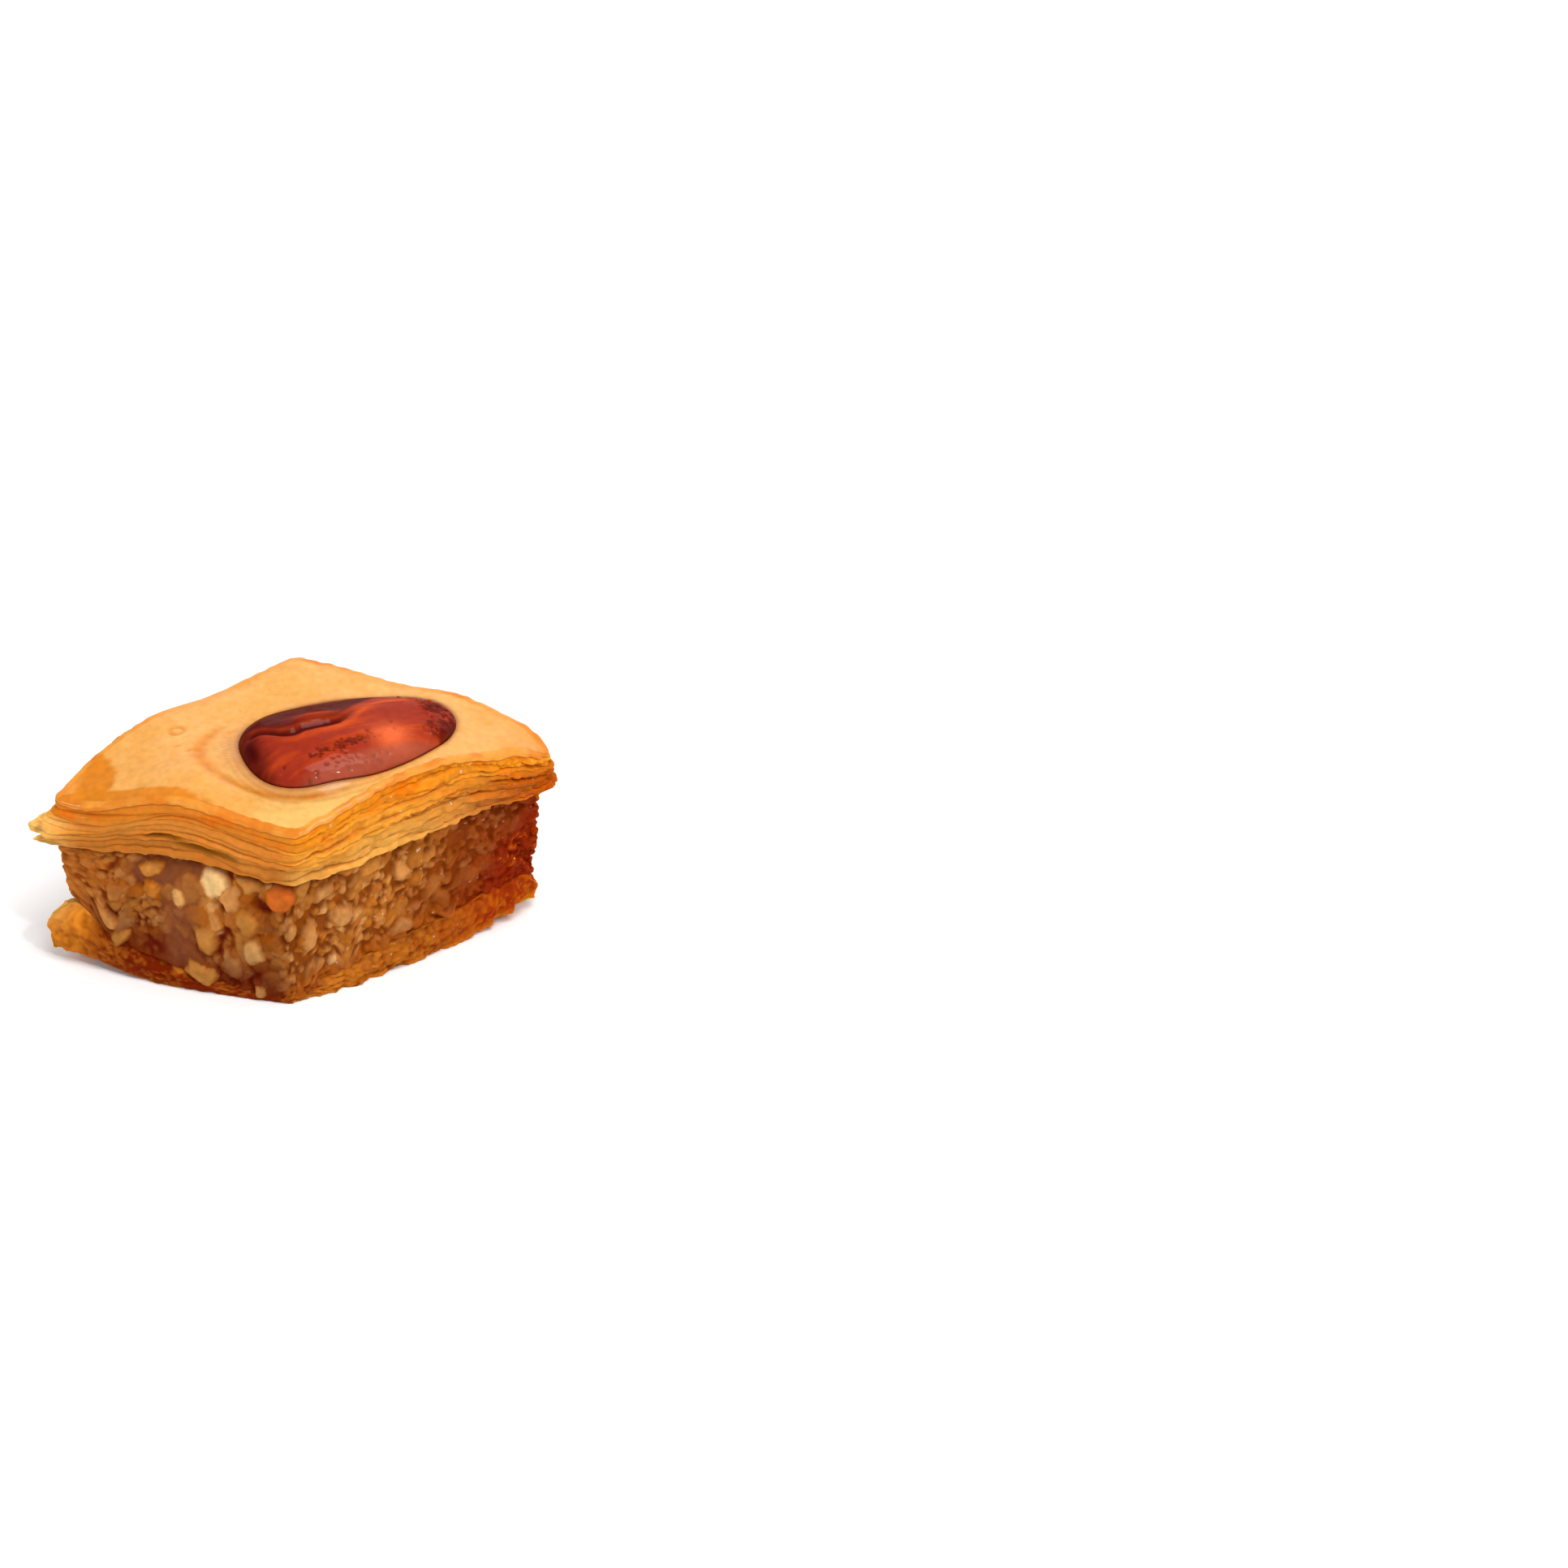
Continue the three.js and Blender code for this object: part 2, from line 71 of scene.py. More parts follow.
# Places that sag or lift over a reach: (place, rise, reach).
CORNER = [tuple(corner) for corner in JOINT_PLAN]
TOP_CORNERS = (
    (CORNER[FRONT], -1.5, 13),
    (CORNER[RIGHT], -2.8, 14),
    (CORNER[BACK], 1.2, 12),
    (CORNER[LEFT], -3.8, 16),
    (CORNER[RIGHT], -1.3, 4.5),  # a last dip that only the finer leaves have
)
DROOP_DEPTH, DROOP_START, DROOP_FADE = 0.8, 0.62, 4.0
JOINT_CORNERS = ((CORNER[FRONT], -1.7, 23), (CORNER[RIGHT], -1.0, 16), (CORNER[LEFT], -2.0, 16))
LIP_CORNERS = (
    (CORNER[RIGHT], 0.8, 15),
    (CORNER[LEFT], 3.4, 7.4),
    (CORNER[FRONT], -2.2, 28),
    ((-10.0, -12.0), -1.4, 10),
)
CURL_CORNERS = ((CORNER[RIGHT], 1.6, 13), (CORNER[LEFT], 1.6, 13))

# Bows half way along the sides front-right, back-right, back-left and front-left.
BOW_PEAK = np.array((0.5, 0.18, 0.7, 0.5))
STACK_TOP_BOW = np.array((-1.0, 2.2, 2.1, 0.2))
STACK_BASE_BOW = np.array((1.1, 1.2, 1.2, -0.1))
FILLING_TOP_BOW = np.array((-0.1, -0.2, -0.2, -0.6))
FILLING_BASE_BOW = np.array((0.5, -0.4, -0.4, 0.7))
BOTTOM_BOW = np.array((1.3, 0.6, 0.6, 1.0))

ALMOND_LENGTH, ALMOND_WIDTH, ALMOND_THICKNESS = 23.5, 14.0, 6.8
ALMOND_MIDDLE = np.array((5.7, -0.6, 23.1))
ALMOND_HEADING = 0.27
ALMOND_BLUNT, ALMOND_FULL = 0.19, 0.12

PASTRY_COLUMNS = 720  # points round the cut side of a pastry
FILLING_COLUMNS = 1000  # and of the filling
ROUGH_SIDES = np.array((1.0, 0.75, 0.4, 0.12))  # how torn the leaves are on each side


# ----------------- small helpers

def lerp(a, b, share):
    return a + (b - a) * share


def smooth(low, high, value):
    """0 at low, 1 at high, an S curve between; low may be the larger."""
    share = np.clip((value - low) / (high - low), 0.0, 1.0)
    return share * share * (3.0 - 2.0 * share)


def between(value, low, full, still_full, high):
    """1 from full to still_full, fading to 0 at low and at high."""
    return smooth(low, full, value) * smooth(high, still_full, value)


def hump(value, middle, width):
    """1 in the middle, falling off smoothly and never quite ending."""
    return np.exp(-(((value - middle) / width) ** 2))


def dome(distance, reach):
    """1 at no distance, 0 from reach on."""
    share = np.minimum(1.0, np.abs(distance) / reach)
    return (1.0 - share) ** 2 * (1.0 + 2.0 * share)


def ripple(seed, slowest, fastest):
    """A wandering line that closes on itself round the piece, about -1 to 1."""
    rng = np.random.default_rng(seed)
    turns = np.arange(slowest, fastest + 1)
    phases = rng.uniform(0.0, 2.0 * math.pi, len(turns))
    sizes = rng.uniform(0.4, 1.4, len(turns))
    total = math.sqrt(float((sizes**2).sum()))
    return lambda turn: sum(
        size * np.sin(2.0 * math.pi * count * turn + phase)
        for size, count, phase in zip(sizes, turns, phases)
    ) / total


def noise(x, y, scale, seed, period=PERIMETER):
    """Smooth noise from -1 to 1 with bumps of one size. It closes along x after period,
    or nowhere if that is None."""
    rng = np.random.default_rng(seed)
    size = 512
    lattice = rng.uniform(-1.0, 1.0, (size, size))
    cells = size if period is None else max(1, min(size, round(period / scale)))
    step = scale if period is None else period / cells
    u, v = x / step, y / scale
    iu, iv = np.floor(u).astype(int), np.floor(v).astype(int)
    fu, fv = u - iu, v - iv
    fu, fv = fu * fu * (3 - 2 * fu), fv * fv * (3 - 2 * fv)
    a = lattice[iv % size, iu % cells]
    b = lattice[iv % size, (iu + 1) % cells]
    c = lattice[(iv + 1) % size, iu % cells]
    d = lattice[(iv + 1) % size, (iu + 1) % cells]
    return lerp(lerp(a, b, fu), lerp(c, d, fu), fv)


def layered(x, y, scale, seed, octaves=3, period=PERIMETER):
    """Noise in layers, each half the size and the strength of the one before."""
    total = 0.0
    for octave in range(octaves):
        total = total + 0.5**octave * noise(x, y, scale * 0.5**octave, seed + octave, period)
    return total / 1.5


def open_layers(x, y, scale, seed, octaves=3):
    """Layered noise that closes nowhere, for surfaces seen from above."""
    return layered(x, y, scale, seed, octaves, None)


def lumps(x, y, scale, seed):
    """Rounded grains packed side by side round the piece: 1 at their middles, 0 in the
    gaps."""
    rng = np.random.default_rng(seed)
    cells = round(PERIMETER / scale)
    rows = 64
    shift = rng.uniform(0.1, 0.9, (rows, cells, 2))
    u, v = x / (PERIMETER / cells), y / scale
    iu, iv = np.floor(u).astype(int), np.floor(v).astype(int)
    nearest = np.full(np.shape(u), 9.0)
    for across in (-1, 0, 1):
        for up in (-1, 0, 1):
            spot = shift[(iv + up) % rows, (iu + across) % cells]
            away = np.hypot(iu + across + spot[..., 0] - u, iv + up + spot[..., 1] - v)
            nearest = np.minimum(nearest, away)
    return 1.0 - np.minimum(1.0, nearest) ** 2


# --------------- the cut outline

def side_at(distance):
    """The side at a distance along the outline, and the share of that side passed."""
    left = np.mod(distance, PERIMETER)
    side = np.minimum(3, np.searchsorted(SIDE_ENDS, left, side="right"))
    return side, (left - SIDE_STARTS[side]) / SIDE_LENGTHS[side]


def rounded_point(corners, distance):
    taps = 8
    total = 0.0
    for tap in range(-taps, taps + 1):
        side, share = side_at(distance + tap / taps * CORNER_SOFTNESS)
        total = total + lerp(corners[side], corners[(side + 1) % 4], share[:, None])
    return total / (2 * taps + 1)


class Stations:
    """Places along the outline, where every ring of a side has its points."""

    def __init__(self, count):
        self.count = count
        self.distance = distance = np.arange(count) * PERIMETER / count
        self.turn = distance / PERIMETER
        self.side, self.share = side_at(distance)
        self.base = rounded_point(BASE_PLAN, distance)
        self.joint = rounded_point(JOINT_PLAN, distance)
        self.top = rounded_point(TOP_PLAN, distance)
        along = rounded_point(JOINT_PLAN, distance + 0.2) - rounded_point(JOINT_PLAN, distance - 0.2)
        along /= np.hypot(along[:, 0], along[:, 1])[:, None]
        self.outward = np.stack([along[:, 1], -along[:, 0]], axis=1)
        away = self.joint - PLAN_MIDDLE
        self.away = away / np.hypot(away[:, 0], away[:, 1])[:, None]
        torn = sum(ROUGH_SIDES[side_at(distance + shift)[0]] for shift in np.linspace(-2.5, 2.5, 21))
        self.torn = torn / 21

    def near(self, corner, reach):
        offset = self.joint - JOINT_PLAN[corner]
        return dome(np.hypot(offset[:, 0], offset[:, 1]), reach)

    def bow(self, bows):
        skew = math.log(0.5) / np.log(BOW_PEAK[self.side])
        return bows[self.side] * np.sin(math.pi * self.share**skew)

    def outline(self, bows):
        return self.joint + self.outward * self.bow(bows)[:, None]

    def wall(self, z, out, jut=0.0):
        level = (z / PLATEAU)[:, None]
        low = lerp(self.base, self.joint, level / JOINT_LEVEL)
        high = lerp(self.joint, self.top, (level - JOINT_LEVEL) / (1.0 - JOINT_LEVEL))
        point = np.where(level < JOINT_LEVEL, low, high)
        return point + self.outward * np.reshape(out, (-1, 1)) + self.away * np.reshape(jut, (-1, 1))

    def ring(self, share, out, jut, low, high):
        """A ring of the wall at a share of the height between two height functions."""
        x, y = self.joint[:, 0], self.joint[:, 1]
        flat = self.wall(lerp(low(x, y), high(x, y), share), out, jut)
        x, y = flat[:, 0], flat[:, 1]
        return np.column_stack([flat, lerp(low(x, y), high(x, y), share)])


PASTRY = Stations(PASTRY_COLUMNS)
WALL = Stations(FILLING_COLUMNS)


# ----------------------- heights

def rises(x, y, places):
    return sum(rise * dome(np.hypot(x - at[0], y - at[1]), reach) for at, rise, reach in places)


def top_height(x, y):
    """The top leaf without its wrinkles: flat, drooping to the corners and front cuts."""
    out_x = np.abs(x - PLAN_MIDDLE[0]) / (JOINT_PLAN[RIGHT, 0] - PLAN_MIDDLE[0])
    out_y = np.abs(y - PLAN_MIDDLE[1]) / (JOINT_PLAN[BACK, 1] - PLAN_MIDDLE[1])
    share = np.clip((out_x + out_y - DROOP_START) / (1 - DROOP_START), 0.0, 1.2)
    droop = -DROOP_DEPTH * share * share * smooth(0.0, DROOP_FADE, -y)
    return PLATEAU + 0.03 * y + rises(x, y, TOP_CORNERS) + droop


def stack_top_height(x, y):
    return top_height(x, y) - TOP_LEAF


def filling_top_height(x, y):
    return FILLING_TOP + rises(x, y, JOINT_CORNERS) + 0.25 * np.sin(x / 4.1) * np.sin(y / 3.3)


def filling_base_height(x, y):
    return FILLING_BASE + rises(x, y, LIP_CORNERS) + 0.3 * np.sin(x / 3.7 + 1) * np.cos(y / 4.3)


def underside_height(x, y):
    return rises(x, y, CURL_CORNERS)


def almond_frame(x, y):
    """Place in the almond's own plan, as (along, across) with its outline at radius 1."""
    dx, dy = x - ALMOND_MIDDLE[0], y - ALMOND_MIDDLE[1]
    cos, sin = math.cos(ALMOND_HEADING), math.sin(ALMOND_HEADING)
    along = (dx * cos + dy * sin) / (ALMOND_LENGTH / 2)
    side = np.clip(along, -1.0, 1.0)
    taper = 1 - ALMOND_BLUNT * side + ALMOND_FULL * side * side
    across = (-dx * sin + dy * cos) / (ALMOND_WIDTH / 2) / taper
    return along, across


def almond_power(along, across):
    """The power of the almond's outline: 2 is an ellipse, more is a squarer end."""
    return 2.0 + 0.6 * smooth(0.2, -0.6, along) * smooth(-0.4, 0.4, across)


def almond_radius(along, across):
    power = almond_power(along, across)
    return (np.abs(along) ** power + np.abs(across) ** power) ** (1.0 / power)


def almond_clearance(x, y):
    """How far a place lies outside the almond seen from above, in mm, and which way
    it lies, in degrees from the tip, counter-clockwise, 0 to 360."""
    along, across = almond_frame(x, y)
    radius = almond_radius(along, across)
    reach = np.hypot(along * ALMOND_LENGTH / 2, across * ALMOND_WIDTH / 2)
    heading = np.degrees(np.arctan2(across * ALMOND_WIDTH, along * ALMOND_LENGTH)) % 360
    return (radius - 1.0) * reach / np.maximum(radius, 1e-6), heading


# ---------------- making meshes

def make_mesh(name, points, quads, triangles, colours, wet):
    """A smooth mesh object. points are in mm in the plan's own place; colours is an
    (n, 3) array of linear colour; wet is how glossy each point is, 0 to 1."""
    mesh = bpy.data.meshes.new(name)
    points = (np.asarray(points) - PIECE_MIDDLE) * MM
    loops = np.concatenate([quads.ravel(), triangles.ravel()]).astype(np.int32)
    sizes = np.concatenate([np.full(len(quads), 4), np.full(len(triangles), 3)])
    starts = np.concatenate([[0], np.cumsum(sizes)[:-1]]).astype(np.int32)
    mesh.vertices.add(len(points))
    mesh.vertices.foreach_set("co", points.astype(np.float32).ravel())
    mesh.loops.add(len(loops))
    mesh.loops.foreach_set("vertex_index", loops)
    mesh.polygons.add(len(sizes))
    mesh.polygons.foreach_set("loop_start", starts)
    mesh.polygons.foreach_set("use_smooth", np.ones(len(sizes), bool))
    mesh.update(calc_edges=True)
    mesh.validate()
    rgba = np.concatenate([np.clip(colours, 0.0, 1.0), np.ones((len(points), 1))], axis=1)
    tint = mesh.attributes.new("tint", "FLOAT_COLOR", "POINT")
    tint.data.foreach_set("color", rgba.astype(np.float32).ravel())
    gloss = mesh.attributes.new("wet", "FLOAT", "POINT")
    gloss.data.foreach_set("value", np.clip(wet, 0.0, 1.0).astype(np.float32))
    piece = bpy.data.objects.new(name, mesh)
    bpy.context.scene.collection.objects.link(piece)
    return piece


def ring_faces(ring_count, columns):
    """Quads between rings of equal count, lowest first, and a fan over each end."""
    ring = np.arange(ring_count - 1)[:, None] * columns
    here = np.arange(columns)[None, :]
    after = (here + 1) % columns
    quads = np.stack([ring + here, ring + after, ring + columns + after, ring + columns + here], axis=2)
    low_middle = ring_count * columns
    last = (ring_count - 1) * columns
    low_fan = np.stack([np.full(columns, low_middle), after[0], here[0]], axis=1)
    high_fan = np.stack([np.full(columns, low_middle + 1), last + here[0], last + after[0]], axis=1)
    return quads.reshape(-1, 4), np.concatenate([low_fan, high_fan])


def cap_rings(ring, shares, height, outline):
    """Rings that shrink from ring towards the middle of the plan. They soon take up the
    shape of outline, which has no folds at its sharp corners."""
    rings = []
    for share in shares:
        edge = lerp(ring[:, :2], outline, smooth(0.0, 0.15, share))
        flat = lerp(edge, PLAN_MIDDLE, share)
        rings.append(np.column_stack([flat, height(flat[:, 0], flat[:, 1])]))
    return rings


def closed_piece(name, low_cap, wall, high_cap, paint):
    """A closed piece from rings; both caps run from the edge inwards. paint turns
    (points, row of the wall, column) into colours and wetness; rows below 0 or past
    the wall are on the caps."""
    columns = len(wall[0])
    rings = low_cap[::-1] + wall + high_cap
    points = np.concatenate(rings)
    middles = np.stack([low_cap[-1].mean(axis=0), high_cap[-1].mean(axis=0)])
    points = np.concatenate([points, middles])
    quads, triangles = ring_faces(len(rings), columns)
    row = np.repeat(np.arange(len(rings)) - len(low_cap), columns)
    row = np.concatenate([row, [-len(low_cap), len(wall) + len(high_cap)]])
    column = np.concatenate([np.tile(np.arange(columns), len(rings)), [0, 0]])
    colours, wet = paint(points, row, column)
    return make_mesh(name, points, quads, triangles, colours, wet)


def edge_crowded(count, first):
    """Shares from just inside the edge to near the middle, closer together at the edge."""
    even = np.arange(1, count + 1) / (count + 1)
    return first + (0.985 - first) * (0.45 * even + 0.55 * even**2)


# ----------------------- colours

def srgb(red, green, blue):
    """Linear colour from the usual 0 to 255 values."""
    values = np.array((red, green, blue), float) / 255.0
    return np.where(values <= 0.04045, values / 12.92, ((values + 0.055) / 1.055) ** 2.4)


def mix(first, second, share):
    """Mixes colours; each may be one colour or one for every point."""
    share = np.reshape(np.clip(share, 0.0, 1.0), (-1, 1))
    return first * (1.0 - share) + second * share


# --------------------- top leaf

PAINTED_GLINT = srgb(255, 240, 214)  # painted highlights: pale specks that stand for glints of the syrup
# Gold and peach are the top's orange under a painted sheen of the glaze; TOP_ORANGE is the leaf without
# it.
TOP_GOLD_SHEEN = srgb(225, 154, 68)
TOP_PEACH_SHEEN = srgb(231, 168, 92)
TOP_CREAM = srgb(234, 181, 98)
TOP_ORANGE = srgb(210, 122, 10)
RIM_PEACH = srgb(224, 146, 50)
RIM_ORANGE = srgb(214, 120, 20)
# Syrup round the almond with painted contact shade, and mauve where painted shade and sheen lie in the
# pool at its blunt end.
MENISCUS_SYRUP_SHADE = srgb(120, 52, 14)
POOL_SHADE_AND_SHEEN = srgb(170, 100, 56)


def crescent(clear, heading):
    """The crescent-shaped groove round the almond's blunt end, 0 to 1."""
    middle = 1.0 + 3.2 * hump(heading, 171, 18)
    width = 0.36 + 0.45 * hump(heading, 172, 18)
    return hump(clear, middle, width) * between(heading, 148, 160, 215, 262)


# Small marks on the top leaf: (x, y, radius, depth). The first is a ring.
TOP_MARKS = (
    (-12.35, 3.7, 0.75, 0.16),
    (-12.4, 0.9, 0.28, 0.12),
    (-11.3, -0.4, 0.3, 0.14),
    (-10.2, -0.3, 0.5, 0.12),
    (-6.9, 2.6, 0.4, 0.12),
    (-5.4, 6.3, 0.16, 0.12),
    (14.5, 5.6, 0.3, 0.08),
    (-2.0, 9.0, 0.2, 0.08),
    (20.5, 1.6, 0.4, 0.08),
)


def marks(x, y):
    """How deep the small marks are at each place."""
    total = 0.0
    for number, (at_x, at_y, radius, depth) in enumerate(TOP_MARKS):
        distance = np.hypot(x - at_x, (y - at_y) * 1.2)
        middle, width = (radius, radius * 0.35) if number == 0 else (0.0, radius)
        total = total + depth * hump(distance, middle, width)
    return total


def top_surface(x, y):
    """The top leaf's surface: a moat round the almond's blunt end, syrup that climbs its
    near side, and a seat under it."""
    clear, heading = almond_clearance(x, y)
    along, across = almond_frame(x, y)
    outside = np.maximum(clear, 0.0)
    blunt_end = between(heading, 120, 160, 235, 290)
    near_side = between(heading, 180, 215, 230, 285)
    far_half = between(heading, 222, 272, 330, 358)
    moat = (0.06 + 0.24 * blunt_end) * hump(outside, 2.2, 1.6)
    moat += 0.4 * between(heading, 120, 160, 190, 235) * np.exp(-outside / 1.2)
    climb = 0.4 * near_side * np.exp(-outside / 1.0) - 0.55 * far_half * np.exp(-outside / 1.5)
    wrinkles = 0.035 * np.sin(outside * 8.5) * np.exp(-outside / 1.3) * blunt_end
    waves = 0.10 * open_layers(x, y, 4.5, 21) + 0.03 * open_layers(x, y, 1.1, 24)
    waves = waves * smooth(0.0, 1.5, outside)
    groove = 0.1 * crescent(clear, heading)
    surface = top_height(x, y) - moat + climb + wrinkles + waves - groove - marks(x, y)
    power = almond_power(along, across)
    inside = np.clip(1.0 - almond_radius(along, across) ** power, 0.0, 1.0) ** (1.0 / power)
    seat = ALMOND_MIDDLE[2] - 0.5 - ALMOND_THICKNESS / 2 * inside
    return np.where(clear < -0.7, np.minimum(surface, seat), surface)


def almond_hollow(x, y):
    """How far the leaves give way under the almond."""
    clear, _ = almond_clearance(x, y)
    return HOLLOW_DEPTH * smooth(1.0, -3.0, clear)


def stack_jut(stations, share):
    """How far the corners stand out: the right one, and the flap of the left one."""
    flap = dome(share - 0.33, 0.5) ** 0.6
    corner = 1.1 * (1.0 - share) - 0.6
    return corner * stations.near(RIGHT, 8) + 2.7 * flap * stations.near(LEFT, 8)


def stack_out(stations, share):
    return lerp(stations.bow(STACK_BASE_BOW), stations.bow(STACK_TOP_BOW), share)


def top_leaf():
    st = PASTRY
    wander = 0.12 * ripple(412, 2, 14)(st.turn) + 0.04 * ripple(411, 30, 90)(st.turn)
    wander += st.torn * 0.12 * noise(st.distance, 0.0 * st.distance, 0.8, 413)
    rim = [(-0.06, -0.40), (0.0, -0.16), (0.12, -0.02), (0.28, 0.02), (0.46, 0.02), (0.62, -0.02)]
    rim += [(0.74, -0.07), (0.83, -0.14), (0.9, -0.24), (0.95, -0.38), (0.98, -0.6)]
    wall = []
    for level, bulge in rim:
        share = 1.0 + (level - 1.0) * TOP_LEAF / STACK_HEIGHT
        out = stack_out(st, share) + wander + bulge
        x, y = st.joint[:, 0], st.joint[:, 1]
        flat = st.wall(top_height(x, y) - (1.0 - level) * TOP_LEAF, out, stack_jut(st, 1.0))
        height = top_height(flat[:, 0], flat[:, 1]) - (1.0 - level) * TOP_LEAF
        wall.append(np.column_stack([flat, height]))
    outline = st.outline(STACK_TOP_BOW)
    high_cap = cap_rings(wall[-1], edge_crowded(66, 0.012), top_surface, outline)

    def under(x, y):
        return stack_top_height(x, y) + 0.02 - almond_hollow(x, y)

    low_cap = cap_rings(wall[0], [0.02, 0.08, 0.2, 0.35, 0.5, 0.7, 0.9], under, outline)

    def paint(points, row, column):
        x, y = points[:, 0], points[:, 1]
        clear, heading = almond_clearance(x, y)
        blotch = open_layers(x, y, 3.2, 51)
        speck = open_layers(x, y, 0.8, 54)
        # Gold and peach over the top: the leaf's orange with a painted sheen of the glaze.
        colour = mix(TOP_GOLD_SHEEN, TOP_PEACH_SHEEN, 0.5 + 0.5 * blotch + 0.25 * speck)
        colour = mix(colour, TOP_CREAM, 0.9 * smooth(9.0, 2.0, np.hypot(x - 1.0, (y + 12.5) * 1.4)))
        wavy = 0.7 * open_layers(x, y, 2.2, 61)
        # The orange patch of the left corner and its band along the front-left cut, where the painted
        # sheen of the glaze is left out.
        beyond = -(x + 19.4) - 0.75 * np.clip(-y - 1.5, 0.0, 9.0) * (x < 0) - 0.2 * np.maximum(0.0, y)
        left_patch = smooth(-0.5, 0.3, beyond + wavy)
        lighter = smooth(0.0, 0.5, open_layers(x, y, 2.4, 63)) * smooth(-22.0, -23.5, x)
        edge = st.joint[column]
        inwards = np.where(row > len(wall), np.hypot(x - edge[:, 0], y - edge[:, 1]), 0.0)
        band_width = lerp(3.4, 0.9, smooth(-20.0, -3.0, x))
        front_left = (st.side[column] == LEFT) * smooth(band_width, band_width - 0.7, inwards + 0.6 * wavy)
        band = np.clip(np.maximum(left_patch * (1 - 0.45 * lighter), 0.95 * front_left), 0, 1)
        colour = mix(colour, TOP_ORANGE * (1 + 0.12 * speck[:, None]), band)
        near_edge = smooth(1.2, 0.2, inwards + 0.4 * wavy)
        colour = mix(colour, TOP_ORANGE, 0.3 * near_edge)
        colour = mix(colour, TOP_ORANGE, 0.9 * crescent(clear, heading) * (1 + 0.4 * speck))
        # Darker syrup lines in the moat's ripples, with painted shade.
        trough = hump(clear, 1.1, 0.9) * between(heading, 150, 170, 240, 300)
        lines = 0.5 + 0.5 * np.sin(np.maximum(clear, 0.0) * 9.0)
        colour = mix(colour, MENISCUS_SYRUP_SHADE, 0.3 * trough * lines)
        # A dark ring where the leaf meets the almond: syrup with painted contact shade, mauve with painted
        # sheen in the pool.
        pool = between(heading, 130, 170, 215, 270)
        ring = np.exp(-np.maximum(clear, 0.0) / (0.22 + 0.4 * pool))
        colour = mix(colour, mix(MENISCUS_SYRUP_SHADE, POOL_SHADE_AND_SHEEN, 0.6 * pool), 0.85 * ring)
        to_right = np.hypot(x - CORNER[RIGHT][0], y - CORNER[RIGHT][1])
        colour = mix(colour, TOP_ORANGE, 0.35 * smooth(11.0, 2.0, to_right + 1.5 * wavy))
        colour = mix(colour, TOP_ORANGE, np.clip(4.0 * marks(x, y), 0, 0.6))
        on_wall = (row >= 0) & (row < len(wall))
        streak = layered(st.distance[column], row * 0.3, 2.6, 65)
        soaked = smooth(0.0, 0.6, streak + 0.5 * (st.side[column] == LEFT))
        rim_tone = mix(RIM_PEACH, RIM_ORANGE, soaked)
        colour = mix(colour, rim_tone, 0.9 * on_wall)
        return colour, 1.0 - 0.3 * band

    return closed_piece("baklava_top_leaf", low_cap, wall, high_cap, paint)


# ------------ the stack of leaves

LEAVES = 9
# Colours of the leaves from the lowest to the highest, on the smooth and the torn sides.
SMOOTH_LEAVES = (srgb(180, 108, 36), srgb(210, 129, 46), srgb(214, 124, 32))
TORN_LEAVES = (srgb(214, 152, 68), srgb(230, 152, 48), srgb(233, 140, 22))
LEAF_STREAK = srgb(224, 108, 2)
LEAF_RIGHT_END_SHADE = srgb(170, 72, 0)
LEAF_SLIT_SHADE = srgb(186, 84, 6)
POCKET_SHADE_OLIVE = srgb(150, 90, 14)
FLAP_BACKLIT_PALE = srgb(240, 180, 92)

# Pockets where two leaves part: (level, turn, half height, half length).
POCKETS = ((0.37, 0.877, 0.07, 0.030), (0.27, 0.917, 0.11, 0.048))
DEEPEST_SLIT = 0.39
IN_SLIT = 1.2  # a ring's place when it is in the slit above its leaf; in the leaf, -1 to 1


def pocket(share, turn):
    return sum(
        dome(share - level, high) * dome(turn - at, long) for level, at, high, long in POCKETS
    )


